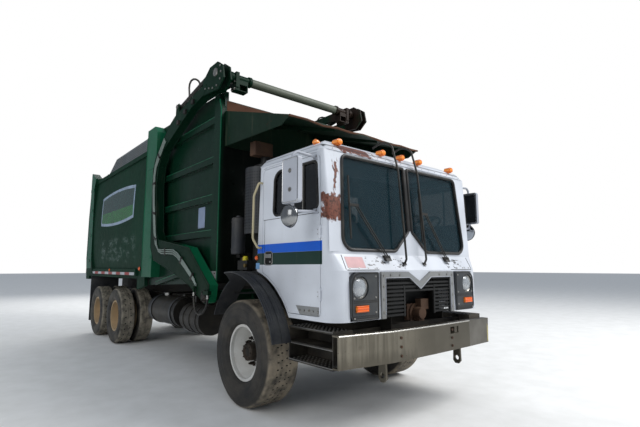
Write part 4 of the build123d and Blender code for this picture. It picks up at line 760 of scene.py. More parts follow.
class Piece:
    """One visible piece: a mesh in the truck's frame that gathers forms of one finish."""

    def __init__(self, name: str, finish: Finish) -> None:
        """Start an empty piece."""
        self.name, self.finish, self.bm = name, finish, bmesh.new()

    def block(self, low: Point, high: Point, matrix: Matrix | None = None) -> "Piece":
        """Block between two corners.

        Args:
            low: one corner.
            high: the other corner.
            matrix: placing, or None where the corners are in the truck's frame.

        Returns:
            The piece itself.
        """
        scale = Matrix.Diagonal((*(abs(a - b) for a, b in zip(low, high)), 1))
        place = (matrix or Matrix()) @ Matrix.Translation((Vector(low) + Vector(high)) / 2) @ scale
        bmesh.ops.create_cube(self.bm, size=1.0, matrix=place)
        return self

    def rod(self, start: Point, end: Point, radius: float, sides: int = 20, tip: float | None = None) -> "Piece":
        """Round bar or cone between two points.

        Args:
            start: first end.
            end: second end.
            radius: radius at the first end.
            sides: faces round it.
            tip: radius at the second end, or None for the same.

        Returns:
            The piece itself.
        """
        a, b = Vector(start), Vector(end)
        bmesh.ops.create_cone(self.bm, cap_ends=True, segments=sides, radius1=radius, depth=(b - a).length,
                              radius2=radius if tip is None else tip, matrix=facing((a + b) / 2, b - a))
        return self

    def lathe(self, profile: Sequence[Spot], matrix: Matrix, sides: int = 64) -> "Piece":
        """Closed ring profile of (radius, height) turned round the matrix's Z.

        Args:
            profile: points in order; ends on the axis are closed by a pole.
            matrix: placing of the axis.
            sides: faces round it.

        Returns:
            The piece itself.
        """
        rings = []
        for radius, height in profile:
            turns = [2 * pi * k / sides for k in range(sides if radius > 0 else 1)]
            rings.append([self.bm.verts.new(matrix @ Vector((radius * cos(t), radius * sin(t), height)))
                          for t in turns])
        closed = len(rings[0]) > 1 and len(rings[-1]) > 1
        for one, two in list(zip(rings, rings[1:])) + ([(rings[-1], rings[0])] if closed else []):
            for k in range(sides):
                n = (k + 1) % sides
                corners = dict.fromkeys((one[k % len(one)], one[n % len(one)], two[n % len(two)], two[k % len(two)]))
                if len(corners) > 2:
                    self.bm.faces.new(list(corners))
        return self

    def tube(self, points: Iterable[Point], radius: float, sides: int = 10, closed: bool = False) -> "Piece":
        """Tube along points.

        Args:
            points: the path.
            radius: of the tube.
            sides: faces round it.
            closed: join the ends.

        Returns:
            The piece itself.
        """
        path = [Vector(p) for p in points]
        count = len(path)
        rings, normal = [], None
        for k, p in enumerate(path):
            before = path[k - 1] if k or closed else p
            after = path[(k + 1) % count] if k + 1 < count or closed else p
            heading = (after - before).normalized()
            normal = heading.orthogonal().normalized() if normal is None else normal
            normal = (normal - heading * normal.dot(heading)).normalized()
            other = heading.cross(normal)
            turns = [2 * pi * j / sides for j in range(sides)]
            rings.append([self.bm.verts.new(p + (normal * cos(t) + other * sin(t)) * radius) for t in turns])
        for k in range(count if closed else count - 1):
            one, two = rings[k], rings[(k + 1) % count]
            for j in range(sides):
                self.bm.faces.new([one[j], one[(j + 1) % sides], two[(j + 1) % sides], two[j]])
        if not closed:
            self.bm.faces.new(rings[0][::-1])
            self.bm.faces.new(rings[-1])
        return self

    def plate(self, outline: Sequence[Point], thickness: Point) -> "Piece":
        """Flat outline in space, given a thickness vector.

        Args:
            outline: its corners.
            thickness: from the first face to the second.

        Returns:
            The piece itself.
        """
        near, far = ([self.bm.verts.new(Vector(p) + lift) for p in outline] for lift in (Vector(), Vector(thickness)))
        self.bm.faces.new(near)
        self.bm.faces.new(far[::-1])
        for k in range(len(near)):
            n = (k + 1) % len(near)
            self.bm.faces.new([near[k], far[k], far[n], near[n]])
        return self

    def absorb(self, mesh: bpy.types.Mesh, matrix: Matrix) -> "Piece":
        """Take in a repeated mesh at a place.

        Args:
            mesh: the mesh, which is removed afterwards.
            matrix: its placing.

        Returns:
            The piece itself.
        """
        mesh.transform(matrix)
        self.bm.from_mesh(mesh)
        bpy.data.meshes.remove(mesh)
        return self

    def repeat(self, tree: Repeat, count: int, reach: float, size: Point, matrix: Matrix) -> "Piece":
        """Take in the mesh of a tree, in the piece's own finish."""
        return self.absorb(tree.mesh(count, reach, size, self.finish), matrix)

    def heads(self, size: Point, normal: Point, places: Iterable[Point]) -> "Piece":
        """One hexagon head at each place.

        Args:
            size: across the flats twice, and height.
            normal: the heads' axis.
            places: their middles.

        Returns:
            The piece itself.
        """
        for place in places:
            self.repeat(ROW_HEX, 1, .1, size, facing(place, normal))
        return self

    def done(self, slot: str, body: str = "truck", bevel: float = 0.0, instead: Sequence[str] = ()) -> None:
        """Finish the piece and hang it on a body.

        Args:
            slot: the record's material slot; not used.
            body: the CAD body that it rides on.
            bevel: edge radius, 0 for none.
            instead: CAD nodes that it stands for.
        """
        bmesh.ops.recalc_face_normals(self.bm, faces=self.bm.faces)
        mesh = bpy.data.meshes.new(self.name)
        self.bm.to_mesh(mesh)
        self.bm.free()
        thing = bpy.data.objects.new(self.name, mesh)
        bpy.context.scene.collection.objects.link(thing)
        mesh.materials.clear()
        mesh.materials.append(self.finish.material())
        mesh.shade_smooth()
        mesh.set_sharp_from_angle(angle=SHARP_EDGE)
        if bevel:
            edge = thing.modifiers.new("edge", "BEVEL")
            edge.width, edge.segments, edge.limit_method = bevel, 2, "ANGLE"
        if instead:
            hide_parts(*instead)
        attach(thing, body)
        LOG.info("%s: %d faces on %s", self.name, len(mesh.polygons), body)


def dress(finish: Finish, *nodes: str) -> None:
    """Give CAD nodes a finish.

    Args:
        finish: the finish.
        nodes: names of the CAD nodes.
    """
    for name in nodes:
        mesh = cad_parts[name].data
        mesh.materials.clear()
        mesh.materials.append(finish.material())
        LOG.info("%s: %s", name, finish.value.name)


# Sub-assemblies


@dataclass
class Wheels:
    """Tyres with grooved treads, dark nuts and hubs over the steel rims."""

    seat: float = 0.2843
    front_radius: float = 0.5615
    front_width: float = 0.42
    front_y: float = 1.06
    rear_radius: float = 0.528
    rear_width: float = 0.28
    rear_outer_y: float = 1.067
    twin_spacing: float = 0.345
    rear_x: dict[str, float] = field(default_factory=lambda: {"fore": -5.07, "aft": -6.44})
    nut_circle: float = 0.1429
    groove: float = 0.0055
    lug_depth: float = 0.006
    lugs: int = 56
    wall: tuple[Spot, ...] = (      # shares of the wall's height and of the half width
        (0, .66), (.065, .66), (.085, .74), (.12, .83), (.14, .85), (.15, .88), (.17, .885), (.18, .89), (.25, .945),
        (.34, .985), (.355, .995), (.37, .988), (.45, 1), (.56, 1), (.62, .993), (.63, 1.003), (.645, .991),
        (.72, .982), (.79, .968), (.80, .978), (.815, .962), (.87, .935), (.92, .90), (.955, .865), (.98, .81),
        (.997, .76), )

    def profile(self, radius: float, width: float, grooves: Sequence[float], depth: float) -> list[Spot]:
        """Section of a tyre as (radius, offset from its middle plane).

        Args:
            radius: outer radius.
            width: section width.
            grooves: offsets of the tread grooves as shares of the half width.
            depth: of the grooves.

        Returns:
            The closed section.
        """
        half, e = width / 2, self.groove
        side = [(self.seat + t * (radius - self.seat), share * half) for t, share in self.wall]
        tread = [(radius, .735 * half)]
        for g in sorted(grooves, reverse=True):
            tread += [(radius, g * half + e), (radius - depth, g * half + e * .6),
                      (radius - depth, g * half - e * .6), (radius, g * half - e)]
        return side + tread + [(radius, -.735 * half)] + [(r, -w) for r, w in reversed(side)]

    def build(self) -> None:
        """Build all ten tyres and what is bolted to their rims."""
        for side, out in SIDES.items():
            self.front(side, out)
            for place, x in self.rear_x.items():
                self.twin(place, x, side, out)
        dress(Finish.WHEEL, "front_rim_left", "front_rim_right")
        dress(Finish.CREAM, *(f"rear_{p}_rims_{s}" for p in self.rear_x for s in SIDES))

    def front(self, side: str, out: float) -> None:
        """One front tyre with its nuts, hub and valve.

        Args:
            side: left or right.
            out: sign of the outer side along Y.
        """
        body = f"front_wheel_{side}"
        spin, face = (aimed(0, out * y, self.front_radius, (0, out, 0)) for y in (self.front_y, self.front_y - .02))
        rubber = Piece(f"front_tyre_worn_{side}", Finish.FRONT_RUBBER)
        rubber.lathe(self.profile(self.front_radius, self.front_width, (-.42, -.14, .14, .42), .003), spin, 128)
        rubber.done("tyre_rubber", body, instead=(f"front_tyre_{side}",))
        nuts = Piece(f"front_nuts_{side}", Finish.NUT)
        for across_flats, height, lift in ((.043, .04, .026), (.026, .03, .058)):
            nuts.repeat(RING_HEX, 10, self.nut_circle, (across_flats, across_flats, height), lifted(face, lift))
        nuts.done("chassis_black", body, .002)
        hub = Piece(f"front_hub_{side}", Finish.NUT)
        hub.lathe([(0, .118), (.05, .118), (.058, .130), (.082, .130), (.094, .120), (.097, .03), (.114, .012),
                   (.116, .0005), (0, .0005)], face, 48)
        hub.repeat(RING_HEX, 8, .08, (.016, .016, .012), lifted(face, .134)).done("chassis_black", body)
        # painted shade in the hub's centre bore
        hole = [(0, .1205), (.044, .1205), (.049, .1155), (0, .1155)]
        Piece(f"front_hub_hole_{side}", Finish.DARK).lathe(hole, face, 32).done("chassis_black", body)
        stem = [face @ Vector(p) for p in ((.245, 0, .05), (.235, 0, .085), (.21, 0, .1))]
        Piece(f"front_valve_{side}", Finish.BRASS).tube(stem, .005).done("chassis_black", body)

    def twin(self, place: str, x: float, side: str, out: float) -> None:
        """One pair of rear tyres.

        Args:
            place: fore or aft.
            x: the axle.
            side: left or right.
            out: sign of the outer side along Y.
        """
        body, root = f"rear_{place}_wheels_{side}", self.rear_radius - self.lug_depth
        rubber = Piece(f"rear_{place}_treads_{side}", Finish.FORE_RUBBER if place == "fore" else Finish.AFT_RUBBER)
        for y in (self.rear_outer_y, self.rear_outer_y - self.twin_spacing):
            spin = aimed(x, out * y, self.rear_radius, (0, out, 0))
            rubber.lathe(self.profile(root, self.rear_width, (-.3, 0, .3), .009), spin, 96)
            for row, shift in ((-.085, 0), (-.03, .5), (.03, 0), (.085, .5)):
                turn = Matrix.Rotation(shift * 2 * pi / self.lugs, 4, "Z")
                rubber.repeat(RING_BLOCK, self.lugs, root, (.012, .044, .034), lifted(spin, row) @ turn)
        rubber.done("tyre_rubber", body, instead=(f"rear_{place}_tyres_{side}",))
        face = aimed(x, out * (self.rear_outer_y - self.twin_spacing / 2), self.rear_radius, (0, out, 0))
        nuts = Piece(f"rear_{place}_nuts_{side}", Finish.RUST_NUT)
        nuts.repeat(RING_HEX, 10, self.nut_circle, (.041, .041, .03), lifted(face, .034))
        nuts.done("cream_wheel", body, .002)
        hub = Piece(f"rear_{place}_hub_{side}", Finish.RUST_NUT)
        hub.repeat(RING_HEX, 8, .096, (.02, .02, .014), lifted(face, .138))
        hub.lathe([(0, .168), (.05, .168), (.07, .1615), (.0832, .158), (.0832, .132), (0, .132)], face, 40)
        hub.done("cream_wheel", body)


@dataclass
class Cab:
    """White cab: seals, seams, door furniture and roof trim."""

    half_width: float = 1.18
    slope_foot: Spot = (1.600, 1.362)
    slope_head: Spot = (2.575, 1.285)
    apron_foot: Spot = (1.45, 1.44)
    lamp_x: float = .195
    lamp_z: float = 1.579
    arch_radius: float = .899
    axle_z: float = .5615

    def on_face(self, spots: Iterable[Spot], lift: float) -> list[Vector]:
        """Points on the raked front, from pairs of Y and Z."""
        (z0, x0), (z1, x1) = self.slope_foot, self.slope_head
        return [at(x0 + (x1 - x0) * (z - z0) / (z1 - z0) + lift, y, z) for y, z in spots]

    def on_apron(self, spots: Iterable[Spot], lift: float) -> list[Vector]:
        """Points on the sloping apron below the windscreen, from pairs of Y and Z."""
        (z0, x0), (z1, x1) = self.apron_foot, self.slope_foot
        return [at(x0 + (x1 - x0) * (z - z0) / (z1 - z0) + lift, y, z) for y, z in spots]

    def build(self) -> None:
        """Dress the cab and add its trim."""
        dress(Finish.CAB, "cab_shell", "cab_roof", "door_left", "door_right")
        dress(Finish.GLASS, "cab_glass")
        dress(Finish.DOOR_GLASS, "door_glass_left", "door_glass_right")
        dress(Finish.VINYL, "seats", "dashboard")
        self.windscreen()
        for side, out in SIDES.items():
            self.door(side, out)
        self.roof()
        for side, out in SIDES.items():
            self.side_lamp(side, out)

    def windscreen(self) -> None:
        """Rubber seals round both panes, the centre strip, the apron's seams, patch and rivets."""
        pane = rounded([(.032, 2.545), (.945, 2.545), (1.0, 1.64), (.262, 1.64), (.032, 1.85)],
                       [.02, .06, .12, .09, .03], 8)
        seal = Piece("windscreen_seals", Finish.SEAL)
        for out in BOTH:
            seal.tube(self.on_face([(out * y, z) for y, z in pane], .001), .017, 10, True)
        seal.plate(self.on_face(oblong(-.03, 1.86, .03, 2.54), .004), (-.012, 0, 0)).done("cab_trim")
        seam = Piece("cab_front_seams", Finish.SEAL)
        for ends in ((-1.02, -.6), (.6, 1.02)):
            seam.tube([at(1.4385, y, 1.455) for y in ends], .003, 6)
        for out in BOTH:
            seam.tube(self.on_apron([(out * 1.03, z) for z in (1.46, 1.5, 1.55, 1.59)], .0005), .003, 6)
        seam.done("cab_trim")
        patch = Piece("faded_patch", Finish.STICKER)
        patch.plate(self.on_apron(oblong(-1.0, 1.475, -.77, 1.575), .0025), (-.0015, 0, 0)).done("cab_white")
        plate = Piece("pillar_plate", Finish.CAB)
        plate.plate(self.on_face([(-1.165, 1.62), (-1.045, 1.62), (-1.06, 1.93), (-1.15, 1.95)], .003), (-.002, 0, 0))
        plate.done("cab_white", bevel=.001)
        rivets = Piece("cab_front_rivets", Finish.STEEL)
        for y in (-.98, -.86, -.74, .74, .86, .98):
            foot, = self.on_apron([(y, 1.472)], -.001)
            rivets.rod(foot, foot + Vector((.005, 0, .002)), .009, 10, .006)
        rivets.done("cab_white")

    def door(self, side: str, out: float) -> None:
        """Window frame, divider, handle, hinges and lower plate of one door.

        Args:
            side: left or right.
            out: sign of the outer side along Y.
        """
        body, skin = f"door_{side}", out * self.half_width
        window = rounded([(1.228, 2.01), (1.205, 2.47), (.52, 2.47), (.50, 2.01)], [.06, .05, .11, .06], 8)
        seal = Piece(f"door_seal_{side}", Finish.SEAL).tube(flank(skin - out * .004, window), .014, 10, True)
        seal.tube(flank(skin - out * .012, ((1.0, 2.01), (1.0, 2.47))), .013, 8).done("cab_trim", body)
        bar = Piece(f"vent_frame_{side}", Finish.STEEL)
        bar.tube(flank(skin - out * .008, ((.988, 2.012), (.988, 2.468))), .006, 8).done("cab_trim", body)
        hole = rounded(oblong(.352, 1.505, .492, 1.640), .03)
        cup = Piece(f"handle_cup_{side}", Finish.STEEL)
        cup.tube(flank(skin + out * .001, hole), .006, 8, True).done("mirror_white", body)
        # painted shade in the handle recess
        dark = Piece(f"handle_recess_{side}", Finish.DARK)
        dark.plate(flank(skin + out * .0008, hole), (0, -out * .0006, 0)).done("cab_trim", body)
        paddle = Piece(f"handle_paddle_{side}", Finish.STEEL)
        paddle.block(at(.37, skin + out * .001, 1.575), at(.474, skin + out * .011, 1.618))
        paddle.rod(at(.45, skin, 1.535), at(.45, skin + out * .006, 1.535), .012, 16)
        paddle.done("mirror_white", body, .004)
        screws = Piece(f"door_hinge_screws_{side}", Finish.STEEL)
        for z in (1.22, 1.26, 1.78, 1.82):
            screws.rod(at(1.228, skin + out * .005, z), at(1.228, skin + out * .009, z), .006, 10, .004)
        screws.done("mirror_white", body)
        line = Piece(f"door_crease_{side}", Finish.SEAL)
        line.tube(flank(skin + out * .0002, ((.32, 1.978), (1.24, 1.978))), .0028, 6)
        line.tube(flank(skin + out * .0002, ((.34, 1.50), (.34, 1.978))), .002, 6).done("cab_trim", body)
        sill = Piece(f"sill_plate_{side}", Finish.GREY)
        sill.plate(flank(skin + out * .002, ((.96, 1.045), (1.24, 1.045), (1.24, 1.125), (.90, 1.125))),
                   (0, -out * .0015, 0)).done("grille_grey", body, .001)
        bolts = Piece(f"sill_bolts_{side}", Finish.STEEL)
        bolts.repeat(ROW_HEX, 5, .065, (.018, .018, .008), aimed(.965, skin + out * .005, 1.085, (0, out, 0)))
        bolts.done("grille_grey", body)
        kept = [(x, z) for x, z in arch(self.arch_radius, self.axle_z, range(44, 141, 4))
                if .17 < x < 1.2 and not .29 < x < .30 and z > 1.04]
        edge = Piece(f"arch_edge_{side}", Finish.MIRROR)
        edge.tube(flank(skin - out * .003, kept), .006, 8).done("cab_white")

    def roof(self) -> None:
        """Rain gutters, marker lamp lenses and roof rivets."""
        gutter = Piece("rain_gutters", Finish.CAB)
        path = ((1.245, 2.30), (1.235, 2.50), (1.215, 2.548), (1.16, 2.556), (.40, 2.556), (.31, 2.545))
        for out in BOTH:
            gutter.tube(flank(out * (self.half_width + .004), path), .009, 8)
        gutter.done("cab_white")
        dress(Finish.PALE_AMBER, "marker_lamps")
        corner = Piece("roof_corner_markers", Finish.PALE_AMBER)
        dome = [(0, .046), (.016, .044), (.027, .036), (.031, .024), (.034, .014), (.034, -.02), (0, -.02)]
        for out in BOTH:
            corner.lathe(dome, aimed(1.09, out * 1.085, 2.675, (.2, out, .45)), 24)
        corner.done("lamp_amber")
        rivets = Piece("roof_rivets", Finish.MIRROR)
        for k in range(18):
            y = -1.06 + k * 2.12 / 17
            rivets.rod(at(1.292, y, 2.59), at(1.296, y, 2.59), .006, 8, .004)
        rivets.done("cab_white")

    def side_lamp(self, side: str, out: float) -> None:
        """Small round lamp and pale patch behind a door.

        Args:
            side: left or right.
            out: sign of the outer side along Y.
        """
        skin = out * self.half_width
        axis = aimed(self.lamp_x, skin - out * .001, self.lamp_z, (0, out, 0))
        lamp = Piece(f"side_lamp_{side}", Finish.AMBER)
        lamp.lathe([(0, .022), (.018, .018), (.026, .006), (.026, 0), (0, 0)], axis, 24).done("lamp_amber")
        base = Piece(f"side_lamp_base_{side}", Finish.SEAL)
        base.lathe([(.024, .007), (.031, .005), (.031, 0), (.024, 0)], axis, 24).done("cab_trim")
        patch = Piece(f"blue_patch_{side}", Finish.BLUE_PATCH)
        patch.plate(flank(skin + out * .0015, oblong(.178, 1.461, .25, 1.525)), (0, -out * .0012, 0)).done("cab_white")


@dataclass
class FrontEnd:
    """Grille, bezels, lamps, wipers, bumper and tow gear."""

    grille_x: float = 1.466
    bezel_x: float = 1.468
    lamp_at: tuple[float, float, float] = (1.42, .88, 1.295)
    lamp_radius: float = .078
    bumper_bend: float = .64
    bumper_mid_x: float = 1.62
    bumper_slope: float = .1754

    def build(self) -> None:
        """Dress the front and add its small parts."""
        dress(Finish.GREY, "grille_frame")
        dress(Finish.GRILLE, "grille_bars", "radiator")
        dress(Finish.BEZEL, "lamp_bezels")
        dress(Finish.RUST_NUT, "front_pump")
        dress(Finish.BLACK, "wipers", "guard_rods")
        dress(Finish.BUMPER, "front_bumper")
        self.grille()
        dress(Finish.CHROME, "head_lamps")
        for side, out in SIDES.items():
            self.lamp(side, out)
            self.bezel(side, out)
        self.bumper()
        self.wipers()

    def grille(self) -> None:
        """Bolts round the surround, a fine mesh behind the bars and a bright inner edge."""
        spots = [(y, z) for z in (1.06, 1.18, 1.30, 1.40) for y in (-.57, .57)]
        spots += [(y, 1.405) for y in (-.47, -.33, .33, .47)]
        bolts = Piece("grille_bolts", Finish.STEEL)
        bolts.heads((.02, .02, .008), FRONT, across(self.grille_x + .003, spots)).done("grille_grey")
        mesh = Piece("grille_mesh", Finish.GRILLE)
        for k in range(36):
            y = -.525 + k * .03
            top = 1.375 if abs(y) > .17 else 1.27 + abs(y) * .55
            low = 1.03 if abs(y) > .245 else 1.235
            mesh.block(at(1.4365, y - .003, low), at(1.4395, y + .003, top))
        mesh.done("grille_black")
        inner = ((-.543, 1.035), (-.543, 1.378), (-.182, 1.378), (0, 1.262), (.182, 1.378), (.543, 1.378),
                 (.543, 1.035))
        trim = Piece("grille_inner_edge", Finish.MIRROR)
        trim.tube(across(self.grille_x + .0005, inner), .004, 8).done("grille_grey")

    def lamp(self, side: str, out: float) -> None:
        """Headlamp ring and ribbed glass of one side.

        Args:
            side: left or right.
            out: sign of the side along Y.
        """
        x, y, z = self.lamp_at
        axis = aimed(x, out * y, z, FRONT)
        ring = Piece(f"head_lamp_ring_{side}", Finish.STEEL)
        ring.lathe([(.086, .024), (.094, .034), (.101, .030), (.1005, .018), (.086, .0195)], axis)
        ring.done("mirror_white")
        lens = Piece(f"head_lamp_glass_{side}", Finish.CLEAR)
        lens.lathe([(0, .052), (.03, .051), (.06, .045), (.080, .034), (.0855, .027), (.0855, .0225), (.08, .030),
                    (.06, .041), (.03, .047), (0, .048)], axis).done("lamp_clear")
        ribs = Piece(f"head_lamp_ribs_{side}", Finish.CLEAR)
        for k in range(-6, 7):
            y = k * .012
            reach = sqrt(max(self.lamp_radius ** 2 - y * y, 0))
            ribs.tube([axis @ Vector((y, s * reach, .0525 - abs(y) * .2 - abs(s) * .012)) for s in (-1, -.5, 0, .5, 1)],
                      .0012, 5)
        ribs.done("lamp_clear")

    def bezel(self, side: str, out: float) -> None:
        """Bezel ribs and bolts, and the turn lamp's lens of one side.

        Args:
            side: left or right.
            out: sign of the side along Y.
        """
        x = self.bezel_x
        grooves = Piece(f"bezel_ribs_{side}", Finish.SEAL)
        for z in (1.03, 1.045, 1.165, 1.18):
            grooves.block(at(x - .001, out * .665, z - .003), at(x + .003, out * .97, z + .003))
        rim = rounded(oblong(.652, 1.016, .99, 1.425), [.01, .05, .10, .01])
        grooves.tube(across(x, [(out * y, z) for y, z in rim]), .005, 8, True).done("bezel_grey")
        bolts = Piece(f"bezel_bolts_{side}", Finish.STEEL)
        for y, z in ((.685, 1.395), (.95, 1.38), (.685, 1.205), (.965, 1.205), (.685, 1.07), (.965, 1.03)):
            bolts.rod(at(x - .002, out * y, z), at(x + .005, out * y, z), .011, 12, .008)
        bolts.done("bezel_grey")
        turn = Piece(f"turn_lamp_lens_{side}", Finish.AMBER)
        turn.block(at(1.4815, out * .797, 1.085), at(1.487, out * .943, 1.135)).done("lamp_amber", bevel=.003)

    def bumper_x(self, y: float) -> float:
        """Station of the bumper's face."""
        bend = self.bumper_bend
        return self.bumper_mid_x - min(y, bend) * .006 / bend - max(y - bend, 0) * self.bumper_slope

    def bumper(self) -> None:
        """Bolt heads, slots, end piece, bright edge and tow pins."""
        bolts = Piece("bumper_bolts", Finish.RUST_NUT)
        for y in (-.515, .30):
            spots = [(y, z) for z in (.68, .76, .84)]
            bolts.heads((.028, .028, .012), FRONT, across(self.bumper_x(abs(y)) + .0025, spots))
        bolts.done("bumper_steel", bevel=.0015)
        # painted shade in the bumper's holes
        holes = Piece("bumper_holes", Finish.DARK)
        for z in (.845, .70):
            x = self.bumper_x(1.12)
            holes.rod(at(x - .001, -1.12, z), at(x + .0012, -1.12, z), .013, 16)
        holes.done("bumper_steel")
        end = Piece("bumper_end_piece", Finish.END_PIECE)
        end.plate([at(self.bumper_x(y) + .001, y, z) for y, z in oblong(1.165, .62, 1.197, .85)], (.004, 0, 0))
        end.done("bumper_steel", bevel=.001)
        lip = Piece("bumper_edges", Finish.BUMPER_EDGE)
        lip.tube([at(x, y, .905) for x, y in ((1.518, -1.205), (1.612, -.64), (1.618, 0), (1.612, .636))], .008)
        lip.done("bumper_steel")
        pins = Piece("tow_pins", Finish.BRASS)
        for out in BOTH:
            pins.block(at(1.44, out * .61 - .03, .70), at(1.50, out * .61 + .03, .73))
        pins.done("bumper_steel", bevel=.003)

    def wipers(self) -> None:
        """Rubber blades and pivots."""
        rubber = Piece("wiper_blades", Finish.SEAL)
        for y in (-.915, .165):
            rubber.tube([at(1.3815 - (z - 1.74) * .06, y, z) for z in (1.75, 2.0, 2.33)], .005, 6)
        rubber.done("black_parts")
        caps = Piece("wiper_pivots", Finish.BLACK)
        for y in (-.452, -.42, .561, .593):
            caps.rod(at(1.398, y, 1.575), at(1.418, y, 1.58), .013, 14, .009)
        caps.done("black_parts")


@dataclass
class Mirrors:
    """Mirror glasses, shells, edges, rims and clamps on the mirror frames."""

    out_y: float = 1.45
    bowl: Spot = (1.16, 1.93)
    bowl_radius: float = .102

    def build(self) -> None:
        """Dress both mirrors."""
        for side, out in SIDES.items():
            self.mirror(side, out)

    def mirror(self, side: str, out: float) -> None:
        """Flat and round glass, shell, edges and clamps of one mirror.

        Args:
            side: left or right.
            out: sign of the side along Y.
        """
        body, y, (x, z) = f"door_{side}", out * self.out_y, self.bowl
        dress(Finish.MIRROR, f"mirror_{side}")
        glass = Piece(f"mirror_glass_{side}", Finish.MIRROR_GLASS)
        glass.plate(flank(y - out * .0146, rounded(oblong(1.092, 2.058, 1.298, 2.432), .02)), (0, -out * .002, 0))
        glass.lathe([(0, .012), (.03, .011), (.06, .008), (.085, .0035), (.097, .0005), (.097, -.0005), (0, -.0005)],
                    aimed(x, y - out * .0085, z, (0, -out, 0)), 48).done("mirror_white", body)
        back = Piece(f"mirror_shell_{side}", Finish.BOWL)
        back.lathe([(0, .067), (.02, .066), (.039, .0628), (.056, .0568), (.0715, .0492), (.084, .0385),
                    (.0935, .0265), (.0985, .015), (.102, .004), (.102, -.0085), (.0985, -.0085), (.0985, 0), (0, 0)],
                   aimed(x, y, z, (0, out, 0))).done("mirror_white", body)
        edge = Piece(f"mirror_edge_{side}", Finish.CHROME)
        edge.tube(flank(y + out * .0302, rounded(oblong(1.085, 2.05, 1.305, 2.44), .02)), .005, 8, True)
        edge.done("mirror_white", body)
        plane = aimed(x, y - out * .0065, z, (0, 1, 0))
        turns = [2 * pi * k / 48 for k in range(48)]
        rim = Piece(f"mirror_rims_{side}", Finish.SEAL)
        rim.tube([plane @ Vector((self.bowl_radius * cos(t), self.bowl_radius * sin(t), 0)) for t in turns],
                 .0035, 8, True)
        rim.tube(flank(y - out * .0148, rounded(oblong(1.084, 2.05, 1.306, 2.44), .024)), .005, 8, True)
        rim.done("cab_trim", body)
        clamps = Piece(f"mirror_clamps_{side}", Finish.STEEL)
        for height in (2.16, 2.33):
            clamps.rod(at(1.195, y + out * .028, height), at(1.195, y + out * .036, height), .02, 16)
            clamps.heads((.016, .016, .01), (0, out, 0), [at(1.195, y + out * .04, height)])
        spots = ((1.182, 1.985), (1.218, 1.995), (1.182, 2.495), (1.218, 2.505))
        clamps.heads((.016, .016, .008), (0, out, 0), flank(out * 1.195, spots)).done("mirror_white", body)


